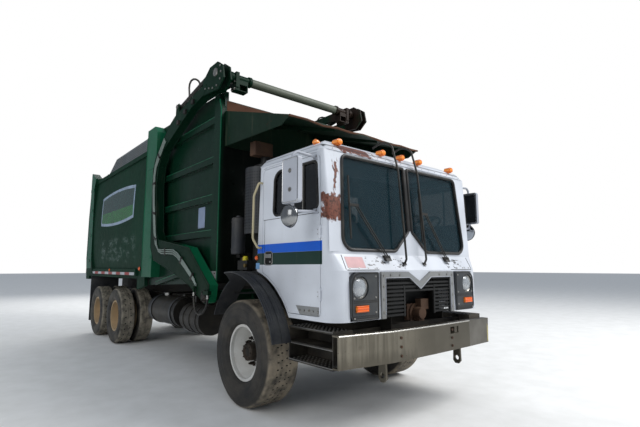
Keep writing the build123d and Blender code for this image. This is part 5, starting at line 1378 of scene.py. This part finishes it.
@dataclass
class Fittings:
    """Steps, mudguards, rails, exhaust and air gear between cab and hopper."""

    arch_radius: float = 0.872
    axle_z: float = 0.5615
    flare_y: float = 1.405
    stack: Spot = (-.272, -.838)
    guard_foot: float = 1.88
    guard_radius: float = .205

    def build(self) -> None:
        """Dress the fittings."""
        dress(Finish.BLACK, "cab_steps")
        dress(Finish.FLARE, "mudguards")
        dress(Finish.RAIL, "grab_rails")
        dress(Finish.TANK, "air_cleaner", "exhaust_stack")
        self.steps()
        self.guards()
        self.stacks()
        self.valves()

    def steps(self) -> None:
        """Raised grip studs on each tread and an edge strip rubbed to bare steel."""
        studs, lips = Piece("step_studs", Finish.STEEL), Piece("step_lips", Finish.STEEL)
        for out in BOTH:
            for z in (.63, .78, .93):
                for k in range(4):
                    place = aimed(.84, out * (1.0 + k * .05), z + .002, UP)
                    studs.repeat(ROW_ROUND, 12, .05, (.018, .018, .006), place)
                lips.tube(flank(out * 1.184, ((.805, z - .004), (1.425, z - .004))), .005, 8)
        studs.done("black_parts")
        lips.done("black_parts")

    def guards(self) -> None:
        """Ribs round the flares and bolts on the rear flaps."""
        ribs = Piece("guard_ribs", Finish.FLARE)
        arc = arch(self.arch_radius, self.axle_z, range(28, 153, 4))
        for out in BOTH:
            for y in (1.225, 1.255, 1.33, 1.36, 1.385):
                kept = [(x, z) for x, z in arc
                        if y < self.flare_y - max(-.12 - x, 0) * .238 / .30 - .012 and z > .9]
                ribs.tube(flank(out * y, kept), .0045, 6)
        ribs.done("flare_rubber")
        bolts = Piece("flap_bolts", Finish.STEEL)
        for out in BOTH:
            bolts.repeat(ROW_HEX, 5, .12, (.022, .022, .01), aimed(-7.073, out * .64, 1.2, REAR, (0, out, 0)))
        bolts.done("chassis_black")

    def stacks(self) -> None:
        """Bands, the stack's perforated guard and outlet, and the canister."""
        bands = Piece("cleaner_bands", Finish.CANISTER)
        for radius, half, place, heights in ((.1705, .012, (-.43, .725), (1.42, 1.86, 2.2)),
                                             (.0855, .01, (-.52, -1.01), (1.7, 2.04)),
                                             (.1405, .015, (-.30, -.77), (1.42,))):
            for z in heights:
                bands.lathe(hoop(radius, .004, half), aimed(*place, z, UP))
        bands.done("tank_black")
        x, y = self.stack
        guard = Piece("stack_guard", Finish.CANISTER)
        arc = [radians(a) for a in range(-215, 26, 8)]
        guard.plate([at(x + r * cos(a), y + r * sin(a), self.guard_foot)
                     for r, turns in ((self.guard_radius, arc), (self.guard_radius - .003, arc[::-1])) for a in turns],
                    (0, 0, .81))
        for z in (2.0, 2.58):
            guard.block(at(-.29, -1.035, z), at(-.25, -.905, z + .02))
        guard.done("tank_black")
        # painted shade in the guard's perforations
        holes = Piece("stack_perforations", Finish.DARK)
        for k in range(20):
            row = RING_HEX.mesh(44, self.guard_radius - .0014, (.004, .011, .017), Finish.DARK)
            kept = bmesh.new()
            kept.from_mesh(row)
            bmesh.ops.delete(kept, geom=[v for v in kept.verts if v.co.y > .055], context="VERTS")
            kept.to_mesh(row)
            kept.free()
            holes.absorb(row, aimed(x, y, self.guard_foot + .06 + k * .036, UP))
        holes.done("tank_black")
        outlet = Piece("stack_outlet", Finish.RUST_NUT)
        outlet.block(at(-.365, -.965, 2.86), at(-.235, -.70, 3.04)).done("tank_black", bevel=.01)
        canister = Piece("canister_shell", Finish.CANISTER)
        canister.lathe([(0, 2.118), (.03, 2.118), (.034, 2.104), (.07, 2.098), (.0865, 2.085), (.0865, 1.645),
                        (.07, 1.635), (0, 1.635)], aimed(-.52, -1.01, 0, UP), 40).done("tank_black")

    def valves(self) -> None:
        """The yellow-capped valve and its neighbours."""
        cap = Piece("valve_cap", Finish.YELLOW)
        cap.lathe([(0, .05), (.02, .05), (.03, .04), (.032, 0), (0, 0)], aimed(-.25, -1.06, 1.56, UP), 20)
        cap.rod(at(-.25, -1.06, 1.585), at(-.20, -1.09, 1.585), .007, 10).done("lamp_amber")
        valves = Piece("valve_bodies", Finish.BRASS)
        for x in (-.36, -.31):
            valves.rod(at(x, -1.03, 1.555), at(x, -1.03, 1.60), .018, 14, .014)
        valves.rod(at(-.205, -1.078, 1.50), at(-.205, -1.102, 1.50), .022, 14).done("tank_black")


@dataclass
class Hopper:
    """Dark green hopper: rib welds, painted highlights on the rib, post and sill edges, rusty canopy and a blank plate.
    """

    wall_y: float = 1.10
    rib_out: float = 0.055
    rib_tops: tuple[float, ...] = (1.97, 2.44, 2.95, 3.50)
    rib_ends: Spot = (-2.9, -.865)
    rib_height: float = 0.092
    post_y: float = 1.16

    def build(self) -> None:
        """Dress the hopper and the canopy."""
        dress(Finish.BODY, "hopper", "packer_panel")
        dress(Finish.CANOPY, "canopy")
        # painted highlights: bright green tubes along the rib tops, the front post's edge and the sloping sill edge
        edge_highlights, welds = Piece("rib_edges", Finish.BRIGHT), Piece("rib_welds", Finish.BODY)
        for out in BOTH:
            for z in self.rib_tops:
                y, foot = out * (self.wall_y + self.rib_out - .002), out * (self.wall_y + .001)
                edge_highlights.tube([at(x, y, z - .002) for x in self.rib_ends], .0055, 8)
                for weld in (z + .001, z + .001 - self.rib_height):
                    welds.tube([at(x, foot, weld) for x in self.rib_ends], .007, 6)
            edge_highlights.tube(flank(out * self.post_y, ((-.781, 1.31), (-.781, 3.56), (-.831, 3.70))), .008, 8)
            edge_highlights.tube(flank(out * self.post_y, ((-.9, 1.401), (-1.97, 1.401), (-2.91, 1.247))), .007, 8)
        edge_highlights.done("bright_green")
        welds.done("body_green")
        plate = Piece("blank_side_plate", Finish.PLATE)
        plate.plate(flank(-self.wall_y - .001, rounded(oblong(-1.50, 2.02, -1.29, 2.31), .015)), (0, -.003, 0))
        plate.done("sign_grey", bevel=.001)
        rivets = Piece("side_plate_rivets", Finish.STEEL)
        for x in (-1.48, -1.31):
            for z in (2.04, 2.29):
                rivets.rod(at(x, -self.wall_y - .004, z), at(x, -self.wall_y - .008, z), .006, 8, .004)
        rivets.done("sign_grey")
        self.canopy()

    def canopy(self) -> None:
        """Torn front edge and the rusty wall above the guard."""
        spots = ((-1.10, 0), (-.86, .006), (-.62, -.012), (-.41, .004), (-.2, -.004), (.02, .014), (.24, .004),
                 (.5, -.010), (.74, .006), (.95, -.004), (1.10, 0))
        edge = Piece("canopy_edge", Finish.RUST)
        edge.tube([at(.655 - abs(d) * .6, y, 3.083 + d) for y, d in spots], .013, 8).done("body_green")
        skin = Piece("rusty_front_wall", Finish.RUST)
        skin.plate(across(-.7985, oblong(-1.07, 3.54, 1.07, 3.69)), (.002, 0, 0)).done("body_green")


@dataclass
class Packer:
    """Packer body: blank billboards, reflective tape, pillars, signs and tailgate."""

    knee: float = 1.33
    eaves: float = 3.5
    side_y: float = 1.18
    bulge_y: float = 1.222
    eaves_y: float = 1.17
    board_x: Spot = (-6.35, -4.05)
    board_z: Spot = (2.40, 3.02)
    board_edge: float = 0.055
    board_bow: float = 0.06
    board_foot: float = 0.25
    rail_y: float = 1.234
    pillar_y: float = 1.2395
    rear_pillar_y: float = 1.2495
    sign_y: float = 1.1745
    marker: Spot = (-3.545, 1.454)
    marker_y: float = 1.225
    tape_start: float = -7.02
    tape_length: float = .28

    def skin(self, z: float) -> float:
        """Half width of the bulged side.

        Args:
            z: height above the ground.

        Returns:
            The half width there.
        """
        middle = (self.knee + self.eaves) / 2
        ease = (z - middle) / (self.eaves - middle)
        return self.bulge_y - (self.bulge_y - (self.eaves_y if ease > 0 else self.side_y)) * ease * ease

    def sheet(self, piece: Piece, xs: Spot, zs: Spot, bows: Spot, out: float, lift: float) -> None:
        """Thin panel that follows the bulged side, with edges that may bow.

        Args:
            piece: what takes the panel.
            xs: rear and front edge.
            zs: lower and upper edge, at the corners.
            bows: how far the lower edge hangs down and the upper edge rises in the middle.
            out: sign of the side.
            lift: distance of its face from the skin.
        """
        columns, steps = 16, 8
        face = piece.bm.faces.new
        front, back = [], []
        for i in range(columns + 1):
            bow = 1 - (2 * i / columns - 1) ** 2
            low, high = zs[0] - bows[0] * bow, zs[1] + bows[1] * bow
            heights = [low + (high - low) * k / steps for k in range(steps + 1)]
            x = xs[0] + (xs[1] - xs[0]) * i / columns
            for rows, depth in ((front, lift), (back, -.002)):
                rows.append([piece.bm.verts.new(at(x, out * (self.skin(z) + depth), z)) for z in heights])
        for rows in (front, back):
            for a, b in zip(rows, rows[1:]):
                for k in range(steps):
                    face([a[k], a[k + 1], b[k + 1], b[k]])
        for i in range(columns):
            for k in (0, steps):
                face([front[i][k], back[i][k], back[i + 1][k], front[i + 1][k]])
        for i in (0, columns):
            for k in range(steps):
                face([front[i][k], front[i][k + 1], back[i][k + 1], back[i][k]])

    def build(self) -> None:
        """Dress the body and add its panels."""
        dress(Finish.PACKER, "packer_body", "tailgate")
        dress(Finish.BRIGHT, "mid_pillars")
        dress(Finish.SIGN, "sign_panels")
        self.boards()
        self.tape()
        self.pillars()
        self.signs()
        self.gate()

    def boards(self) -> None:
        """Blank bowed billboard on each side: pale border, dark upper part and bright lower part."""
        board, low, rim = (Piece("billboards", Finish.BOARD), Piece("billboard_feet", Finish.BOARD_LOW),
                           Piece("billboard_rims", Finish.BOARD_RIM))
        (x0, x1), (z0, z1), edge, bow = self.board_x, self.board_z, self.board_edge, self.board_bow
        for out in BOTH:
            self.sheet(rim, (x0, x1), (z0, z1), (bow, bow), out, .003)
            self.sheet(board, (x0 + edge, x1 - edge), (z0 + self.board_foot, z1 - edge), (0, bow), out, .0045)
            self.sheet(low, (x0 + edge, x1 - edge), (z0 + edge, z0 + self.board_foot), (bow, 0), out, .0045)
        board.done("body_green")
        low.done("bright_green")
        rim.done("sign_grey")

    def tape(self) -> None:
        """Red and white reflective tape along the lower rail, and amber side markers."""
        length = self.tape_length
        for finish, start in ((Finish.TAPE_RED, 0.0), (Finish.TAPE_WHITE, length)):
            strip = Piece(finish.value.name + "_row", finish)
            for out in BOTH:
                strip.repeat(ROW_BLOCK, 6, 2 * length, (length, .05, .002),
                             aimed(self.tape_start + start, out * (self.rail_y + .001), 1.365, (0, out, 0)))
            strip.done("sign_grey")
        lamp, base = Piece("body_markers", Finish.AMBER), Piece("body_marker_bases", Finish.SEAL)
        for out in BOTH:
            (x, z), normal = self.marker, (0, out, 0)
            lamp.lathe([(0, .024), (.02, .02), (.03, .006), (.03, 0), (0, 0)],
                       aimed(x, out * self.marker_y, z, normal), 24)
            lamp.lathe([(0, .02), (.02, .016), (.028, .004), (.028, 0), (0, 0)],
                       aimed(-5.4, out * self.rail_y, 1.425, normal), 24)
            base.lathe([(0, 0), (.036, 0), (.036, -.05), (0, -.05)],
                       aimed(x, out * (self.marker_y + .0005), z, normal), 24)
        lamp.done("lamp_amber")
        base.done("cab_trim")

    def pillars(self) -> None:
        """Pillar edges, straps, hinge pins and the rear pillars' skins."""
        edges, straps = Piece("pillar_edges", Finish.BRIGHT), Piece("pillar_straps", Finish.BRIGHT)
        pins, skins = Piece("pillar_pins", Finish.STEEL), Piece("rear_pillar_skins", Finish.BRIGHT)
        rear = ((-7.40, 1.46), (-6.95, 1.46), (-6.985, 1.70), (-7.10, 3.40), (-6.99, 3.60), (-7.35, 3.765),
                (-7.40, 3.765))
        for out in BOTH:
            y, rear_y = out * self.pillar_y, out * self.rear_pillar_y
            for x in (-3.395, -2.92):
                edges.tube(flank(y, ((x, 1.33), (x, 3.75))), .007, 8)
            for z in (1.62, 2.40, 3.15):
                straps.plate(flank(y, oblong(-3.34, z, -2.98, z + .05)), (0, out * .006, 0))
            for z in (1.60, 2.20, 2.80, 3.30):
                straps.plate(flank(rear_y, oblong(-7.40, z, -7.13, z + .07)), (0, out * .008, 0))
                pins.rod(at(-7.16, rear_y, z + .035), at(-7.16, rear_y + out * .0145, z + .035), .018, 14)
            skins.plate(flank(rear_y + out * .0002, rear), (0, out * .0015, 0))
        edges.done("bright_green")
        straps.done("bright_green", bevel=.002)
        pins.done("ram_steel")
        skins.done("bright_green")

    def signs(self) -> None:
        """Rows of small holes, drawn as dark discs of painted shade, and stiffening edges on the roof signs."""
        # painted shade in the signs' perforations
        holes, edge = Piece("sign_perforations", Finish.DARK), Piece("sign_edges", Finish.SIGN)
        path = ((-6.10, 3.556), (-5.57, 3.797), (-3.484, 3.797), (-3.484, 3.556))
        step = .04
        for out in BOTH:
            for row in range(6):
                start = -6.02 + row * .075
                holes.repeat(ROW_ROUND, int((-3.53 - start) / step), step, (.017, .017, .002),
                             aimed(start, out * self.sign_y, 3.575 + row * .036, (0, out, 0)))
            edge.tube(flank(out * 1.172, path), .009, 8)
        holes.done("sign_grey")
        edge.done("sign_grey")

    def gate(self) -> None:
        """Tail lamps in their boxes and a ladder of ribs on the tailgate."""
        lamps, boxes = Piece("tail_lamps", Finish.RED), Piece("tail_lamp_boxes", Finish.BLACK)
        for out in BOTH:
            for y in (.78, .93, 1.08):
                lamps.lathe([(0, .040), (.03, .036), (.048, .022), (.05, .012), (0, .012)],
                            aimed(-7.715, out * y, 1.42, REAR), 32)
            boxes.block(at(-7.735, out * .70, 1.34), at(-7.665, out * 1.16, 1.50))
        lamps.done("lamp_amber", "tailgate")
        boxes.done("black_parts", "tailgate", .004)
        ribs = Piece("tailgate_ribs", Finish.BRIGHT)
        for y in (-1.15, -.38, .38, 1.15):
            ribs.tube(flank(y, ((-7.685, 1.25), (-7.797, 1.72), (-7.797, 2.68), (-7.742, 3.24), (-7.52, 3.66))), .02, 8)
        ribs.done("bright_green", "tailgate")


@dataclass
class Arms:
    """Lift arms, forks and cylinders with tubes, clamps, pins and bolts."""

    outer_y: float = 1.295
    inner_y: float = 1.175
    pivot: Spot = (-.81, 1.125)
    fork_pin: Spot = (-.70, 3.99)
    cylinder_pin: Spot = (-1.95, 3.89)
    cylinder_y: float = 1.235
    outline: tuple[Spot, ...] = (
        (-.745, 1.062), (-.722, 1.13), (-.70, 1.262), (-1.34, 1.742), (-1.58, 1.775), (-2.48, 1.90), (-2.60, 2.04),
        (-2.69, 2.80), (-2.64, 3.08), (-2.46, 3.33), (-1.45, 3.73), (-1.04, 3.80), (-.96, 3.92), (-1.18, 3.925),
        (-2.04, 3.76), (-2.29, 3.65), (-2.46, 3.52), (-2.80, 3.26), (-2.885, 3.07), (-2.87, 2.30), (-2.84, 1.80),
        (-2.70, 1.60), (-2.0, 1.44), (-1.3, 1.25), (-.87, 1.062))
    lower: tuple[Spot, ...] = (
        (-.88, 1.09), (-.74, 1.13), (-.73, 1.25), (-1.35, 1.715), (-1.59, 1.75), (-2.46, 1.875), (-2.60, 1.82),
        (-2.66, 1.63), (-2.0, 1.47), (-1.3, 1.275))
    line_spacing: float = 0.028
    line_radius: float = 0.0095
    route: tuple[tuple[float, float, float], ...] = (
        (-1.075, .023, 1.165), (-1.075, .023, 1.07), (-1.024, .032, .972), (-.932, .042, .909), (-.818, .045, .903),
        (-.722, .04, .956), (-.665, .031, 1.052), (-.665, .031, 1.145))
    hose_radius: float = 0.013
    hose_length: float = 0.734

    def build(self) -> None:
        """Dress the arms and everything on them."""
        for side, out in SIDES.items():
            self.hose(side, out)
        dress(Finish.ARM, "lift_arms", "forks")
        dress(Finish.BLACK, "lift_barrels", "fork_barrels")
        dress(Finish.STEEL, "lift_rods", "fork_rods")
        self.flanges()
        self.tubes()
        self.tips()
        self.fork_tube()
        self.pivots()
        self.glands()

    def flanges(self) -> None:
        """Weld beads round both faces of each arm, and the skin of its foot."""
        beads, skins = Piece("arm_weld_beads", Finish.ARM), Piece("arm_lower_skins", Finish.ARM)
        for out in BOTH:
            for y in (self.outer_y - .003, self.inner_y + .003):
                beads.tube(flank(out * y, self.outline), .006, 6, True)
            skins.plate(flank(out * (self.outer_y - .0005), self.lower), (0, out * .003, 0))
        beads.done("bright_green", "lift_arms")
        skins.done("bright_green", "lift_arms")

    def line_path(self, s: float) -> list[Spot]:
        """Path of one oil line.

        Args:
            s: how far it is moved inwards from the outermost line, which alone ends at the hose.

        Returns:
            Its points as X and Z.
        """
        path = [(-2.40 + s, 3.50 - s), (-2.62 + s, 3.30 - s), (-2.76 + s, 3.12 - s * .4), (-2.80 + s, 2.95),
                (-2.80 + s, 2.72), (-2.76 + s, 2.46), (-2.71 + s, 2.24), (-2.66 + s, 2.02), (-2.58 + s, 1.84 - s * .2),
                (-2.46 + s * .5, 1.755 - s * .6), (-2.30, 1.742 - s), (-2.05, 1.735 - s), (-1.84, 1.725 - s),
                (-1.68, 1.672 - s), (-1.45, 1.545 - s), (-1.22, 1.405 - s * .8), (-1.11, 1.33 - s * .6)]
        return path + ([(-1.04, 1.275 - s * .5)] if s else [(-1.082, 1.295), (-1.075, 1.238)])

    def tubes(self) -> None:
        """Steel oil lines in their clamps along each arm."""
        lines, clamps = Piece("arm_oil_lines", Finish.LINE), Piece("arm_line_clamps", Finish.BLACK)
        for out in BOTH:
            y = out * (self.outer_y + .014)
            for k in range(3):
                lines.tube(flank(y, self.line_path(k * self.line_spacing)), self.line_radius, 12)
            for x, z, turn in ((-2.60, 3.26, 45), (-2.772, 2.83, 90), (-2.70, 2.34, 80), (-2.60, 1.93, 65),
                               (-2.15, 1.71, 3), (-1.55, 1.575, -32), (-1.18, 1.36, -35)):
                along = (cos(radians(turn)), 0, sin(radians(turn)))
                clamps.block((-.018, -.05, -.014), (.018, .05, .014), aimed(x, y, z, (0, out, 0), along))
            near, far = (out * (self.outer_y + lift) for lift in (-.002, .03))
            for x, z in ((-1.90, 3.62), (-1.66, 3.72), (-1.40, 3.79)):
                clamps.block(at(x, near, z - .03), at(x + .07, far, z + .03))
        lines.done("bright_green", "lift_arms")
        clamps.done("chassis_black", "lift_arms", .002)

    def hose(self, side: str, out: float) -> None:
        """Oil hose that hangs in a loop from the arm's foot.

        Args:
            side: left or right.
            out: sign of the side along Y.
        """
        node = f"arm_hose_{side}"
        route = [at(x, out * (self.outer_y + away), z) for x, away, z in self.route]
        data = bpy.data.curves.new(node + "_line", "CURVE")
        data.dimensions = "3D"
        spline = data.splines.new("NURBS")
        spline.points.add(len(route) - 1)
        for point, place in zip(spline.points, route):
            point.co = (*place, 1)
        spline.order_u = 3
        spline.use_endpoint_u = True
        spline.resolution_u = 8
        data.bevel_depth, data.bevel_resolution = self.hose_radius, 5
        data.materials.append(Finish.HOSE.material())
        hose = bpy.data.objects.new(f"arm_oil_hose_{side}", data)
        bpy.context.scene.collection.objects.link(hose)
        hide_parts(node)
        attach(hose, "lift_arms")
        x, away, z = self.route[0]
        tuple(at(x, out * (self.outer_y + away), z))
        ferrules = Piece(f"hose_ferrules_{side}", Finish.STEEL)
        for foot in (route[0], route[-1]):
            ferrules.lathe([(.0135, -.045), (.017, -.045), (.0185, -.04), (.0185, -.012), (.0165, -.008), (.0165, 0),
                            (.0135, 0)], facing(foot, UP), 20)
        ferrules.done("ram_steel", "lift_arms")

    def tips(self) -> None:
        """Bolts and pins of the arm tips, bolts of the fork carriers and the cylinders' loops of hose."""
        bolts, pins = Piece("arm_tip_bolts", Finish.STEEL), Piece("fork_pins", Finish.STEEL)
        carrier, loops = Piece("carrier_bolts", Finish.STEEL), Piece("fork_cylinder_loops", Finish.HOSE)
        rim = ((-.99, 3.86), (-.88, 3.83), (-.77, 3.80), (-.66, 3.80), (-.57, 3.86), (-.55, 3.95), (-.58, 4.04))
        loop = ((-1.66, 3.96), (-1.672, 4.05), (-1.685, 4.12), (-1.672, 4.18), (-1.62, 4.212), (-1.54, 4.208),
                (-1.46, 4.178), (-1.38, 4.13), (-1.325, 4.08), (-1.305, 4.02))
        for out in BOTH:
            y, normal = out * self.outer_y, (0, out, 0)
            bolts.heads((.03, .03, .014), normal, flank(y + out * .006, rim))
            pins.lathe([(0, .022), (.03, .022), (.052, .016), (.056, .010), (.056, 0), (0, 0)],
                       facing(flank(y, [self.fork_pin])[0], normal), 32)
            pins.lathe([(0, .018), (.02, .018), (.034, .012), (.034, 0), (0, 0)],
                       facing(flank(y, [self.cylinder_pin])[0], normal), 24)
            spots = [(x, z) for x in (-.735, -.665) for z in (3.83, 3.93)]
            carrier.heads((.034, .034, .018), normal, flank(out * 1.043, spots))
            loops.tube(flank(out * self.cylinder_y, loop), .014)
        bolts.done("ram_steel", "lift_arms", .002)
        pins.done("ram_steel", "lift_arms")
        carrier.done("ram_steel", "forks", .002)
        loops.done("chassis_black", "fork_barrels")

    def fork_tube(self) -> None:
        """Worn sleeve and collars of the tube between the forks."""
        x, z = self.fork_pin
        sleeve = Piece("fork_tube_sleeve", Finish.OLIVE)
        sleeve.lathe(hoop(.0555, .003, .78), aimed(x, 0, z, (0, 1, 0)), 48).done("bright_green", "forks")
        collars = Piece("fork_tube_collars", Finish.ARM)
        for y in (-1.08, -.80, .80, 1.08):
            collars.lathe(hoop(.0575, .0145, .02), aimed(x, y, z, (0, 1, 0)), 40)
        collars.done("bright_green", "forks", .002)

    def pivots(self) -> None:
        """Pivot caps and the bolted end plates."""
        caps, plates = Piece("arm_pivot_caps", Finish.NUT), Piece("hopper_foot_plates", Finish.GREY)
        bolts = Piece("foot_plate_bolts", Finish.RUST_NUT)
        spots = [(x, z) for x in (-.98, -.90, -.82) for z in (1.33, 1.405)]
        for out in BOTH:
            axis = facing(flank(out * self.outer_y, [self.pivot])[0], (0, out, 0))
            caps.lathe([(0, .03), (.035, .03), (.045, .022), (.072, .020), (.078, .012), (.078, 0), (0, 0)], axis, 40)
            caps.repeat(RING_HEX, 6, .058, (.018, .018, .012), lifted(axis, .026))
            plates.plate(flank(out * 1.1605, oblong(-1.02, 1.305, -.785, 1.43)), (0, out * .008, 0))
            bolts.heads((.02, .02, .01), (0, out, 0), flank(out * 1.172, spots))
        caps.done("chassis_black", "lift_arms")
        plates.done("bright_green", bevel=.001)
        bolts.done("chassis_black")

    def glands(self) -> None:
        """Gland nuts at the mouths of the fork and lift cylinders."""
        for name, body, base, eye, y, gap, radius, bore in (
                ("fork_glands", "fork_barrels", self.cylinder_pin, (-.81, 4.10), self.cylinder_y, .200, .036, .0205),
                ("lift_glands", "lift_barrels", (-2.60, .90), (-.63, .835), .60, .640, .068, .0385)):
            gland = Piece(name, Finish.STEEL)
            for out in BOTH:
                a, b = flank(out * y, (base, eye))
                along = (b - a).normalized()
                gland.lathe([(bore, 0), (radius, 0), (radius, -.05), (radius - .002, -.055), (bore, -.055)],
                            facing(b - along * (gap - .004), along), 32)
            gland.done("ram_steel", body, .002)


@dataclass
class Chassis:
    """Frame, axles, tanks and engine, all under dust."""

    spring_y: float = 0.385
    line_y: float = 0.437
    tank_y: float = -.925
    axles: tuple[float, ...] = (-5.07, -6.44)

    def build(self) -> None:
        """Dress the running gear."""
        dress(Finish.CHASSIS, "frame_rails", "front_axle", "knuckle_left", "knuckle_right", "rear_axles",
              "engine_block")
        dress(Finish.TANK, "side_tanks")
        leaves = Piece("spring_leaves", Finish.CHASSIS)
        for out in BOTH:
            for k in range(5):
                reach, drop, rise = .70 - k * .12, k * .013, k * .012
                leaves.plate(flank(out * (self.spring_y + .0385), (
                    (-reach, .715 - drop + rise), (0, .612 - drop), (reach, .715 - drop + rise),
                    (reach, .722 - drop + rise), (0, .620 - drop), (-reach, .722 - drop + rise))), (0, out * .002, 0))
        leaves.done("chassis_black")
        cap = Piece("tank_caps", Finish.STEEL)
        for y, z in ((self.tank_y, 1.02), (.86, 1.0)):
            cap.lathe([(0, .05), (.045, .05), (.055, .042), (.055, 0), (0, 0)], aimed(-2.95, y, z, UP), 32)
        cap.done("ram_steel")
        straps = Piece("tank_straps", Finish.CANISTER)
        for x in (-3.1, -2.3):
            straps.lathe(hoop(.2335, .003, .028), aimed(x, self.tank_y, .8, FRONT))
        straps.done("ram_steel")
        chambers, lines = Piece("brake_chambers", Finish.CHASSIS), Piece("air_lines", Finish.HOSE)
        for x in self.axles:
            for out in BOTH:
                chambers.lathe([(0, .1), (.05, .1), (.075, .08), (.082, .02), (.082, -.02), (.07, -.09), (0, -.1)],
                               aimed(x + .26, out * .36, .66, FRONT), 24)
                chambers.rod(at(x + .05, out * .36, .60), at(x + .2, out * .36, .655), .02, 10)
        chambers.done("chassis_black")
        path = ((-.6, .98), (-1.6, .985), (-3.2, .98), (-4.9, .985), (-6.9, .98))
        for out in BOTH:
            lines.tube(flank(out * self.line_y, path), .008, 8)
        lines.done("flare_rubber")


@dataclass
class Studio:
    """Pale floor, soft lights and the photograph's camera."""

    camera_at: tuple[float, float, float] = (7.2807, -3.6721, 1.4785)
    yaw: float = 139.70
    pitch: float = 7.19
    focal: float = 24.02
    sensor: float = 36.0
    floor_reach: float = 120.0

    def build(self) -> None:
        """Set the floor, the lamps, the world and the camera."""
        self.floor()
        self.lamp("key_light", (11.5, 7.5, 12), (0, 0, 1.5), 8.0, 2000)
        self.lamp("fill_light", (5, -13, 8), (0, 0, 1.5), 9.0, 450)
        self.lamp("back_light", (-14, 4, 10), (-2, 0, 2), 8.0, 900)
        self.world()
        camera = bpy.data.objects.new("camera", bpy.data.cameras.new("camera"))
        bpy.context.scene.collection.objects.link(camera)
        camera.location = self.camera_at
        camera.rotation_euler = (radians(90 + self.pitch), 0, radians(self.yaw - 90))
        camera.data.sensor_width, camera.data.lens = self.sensor, self.focal
        camera.data.clip_end = 300
        bpy.context.scene.camera = camera
        bpy.context.scene.view_settings.view_transform = "Standard"

    def floor(self) -> None:
        """Large pale floor that shows white where no shadow falls."""
        graph, mesh, reach = Graph("floor_finish"), bpy.data.meshes.new("floor"), self.floor_reach
        mesh.from_pydata([(-reach, -reach, 0), (reach, -reach, 0), (reach, reach, 0), (-reach, reach, 0)], [],
                         [(0, 1, 2, 3)])
        floor = bpy.data.objects.new("floor", mesh)
        bpy.context.scene.collection.objects.link(floor)
        grain = graph.noise(3.0, detail=5).step(0.2, 0.8)
        colour = graph.mix(rgb("e9e8e4"), rgb("f4f3f0"), grain)
        mesh.materials.append(graph.surface(Base_Color=colour, Roughness=grain * 0.1 + 0.8))

    def lamp(self, name: str, place: Point, aim: Point, size: float, power: float) -> None:
        """One soft area lamp.

        Args:
            name: its name.
            place: where it hangs.
            aim: what it points at.
            size: edge length.
            power: in watts.
        """
        data = bpy.data.lights.new(name, "AREA")
        data.size, data.energy = size, power
        lamp = bpy.data.objects.new(name, data)
        bpy.context.scene.collection.objects.link(lamp)
        lamp.location = place
        lamp.rotation_euler = (Vector(aim) - Vector(place)).to_track_quat("-Z", "Y").to_euler()

    def world(self) -> None:
        """Even soft light, dimmer in reflections and white to the camera."""
        world = bpy.data.worlds.new("studio")
        bpy.context.scene.world = world
        world.use_nodes = True
        tree = world.node_tree
        tree.nodes.clear()
        path = add_node(tree, "ShaderNodeLightPath").outputs
        seen = add_node(tree, "ShaderNodeMath", {"operation": "MAXIMUM"},
                        {0: path["Is Camera Ray"], 1: path["Is Transmission Ray"]})
        dimmed = add_node(tree, "ShaderNodeMath", {"operation": "MULTIPLY_ADD"},
                          {0: path["Is Glossy Ray"], 1: -0.22, 2: 0.5})
        light = add_node(tree, "ShaderNodeBackground", None, {0: (0.80, 0.88, 1.0, 1), 1: dimmed})
        white = add_node(tree, "ShaderNodeBackground", None, {0: (1, 1, 1, 1)})
        mixed = add_node(tree, "ShaderNodeMixShader", None, {0: seen, 1: light, 2: white})
        add_node(tree, "ShaderNodeOutputWorld", None, {0: mixed})


def main() -> None:
    """Build every sub-assembly in order."""
    logging.basicConfig(level=logging.INFO, format="%(message)s")
    for part in (Studio(), Wheels(), Cab(), FrontEnd(), Mirrors(), Fittings(), Hopper(), Packer(), Arms(), Chassis()):
        LOG.info("building %s", type(part).__name__)
        part.build()


if __name__ == "__main__":
    main()
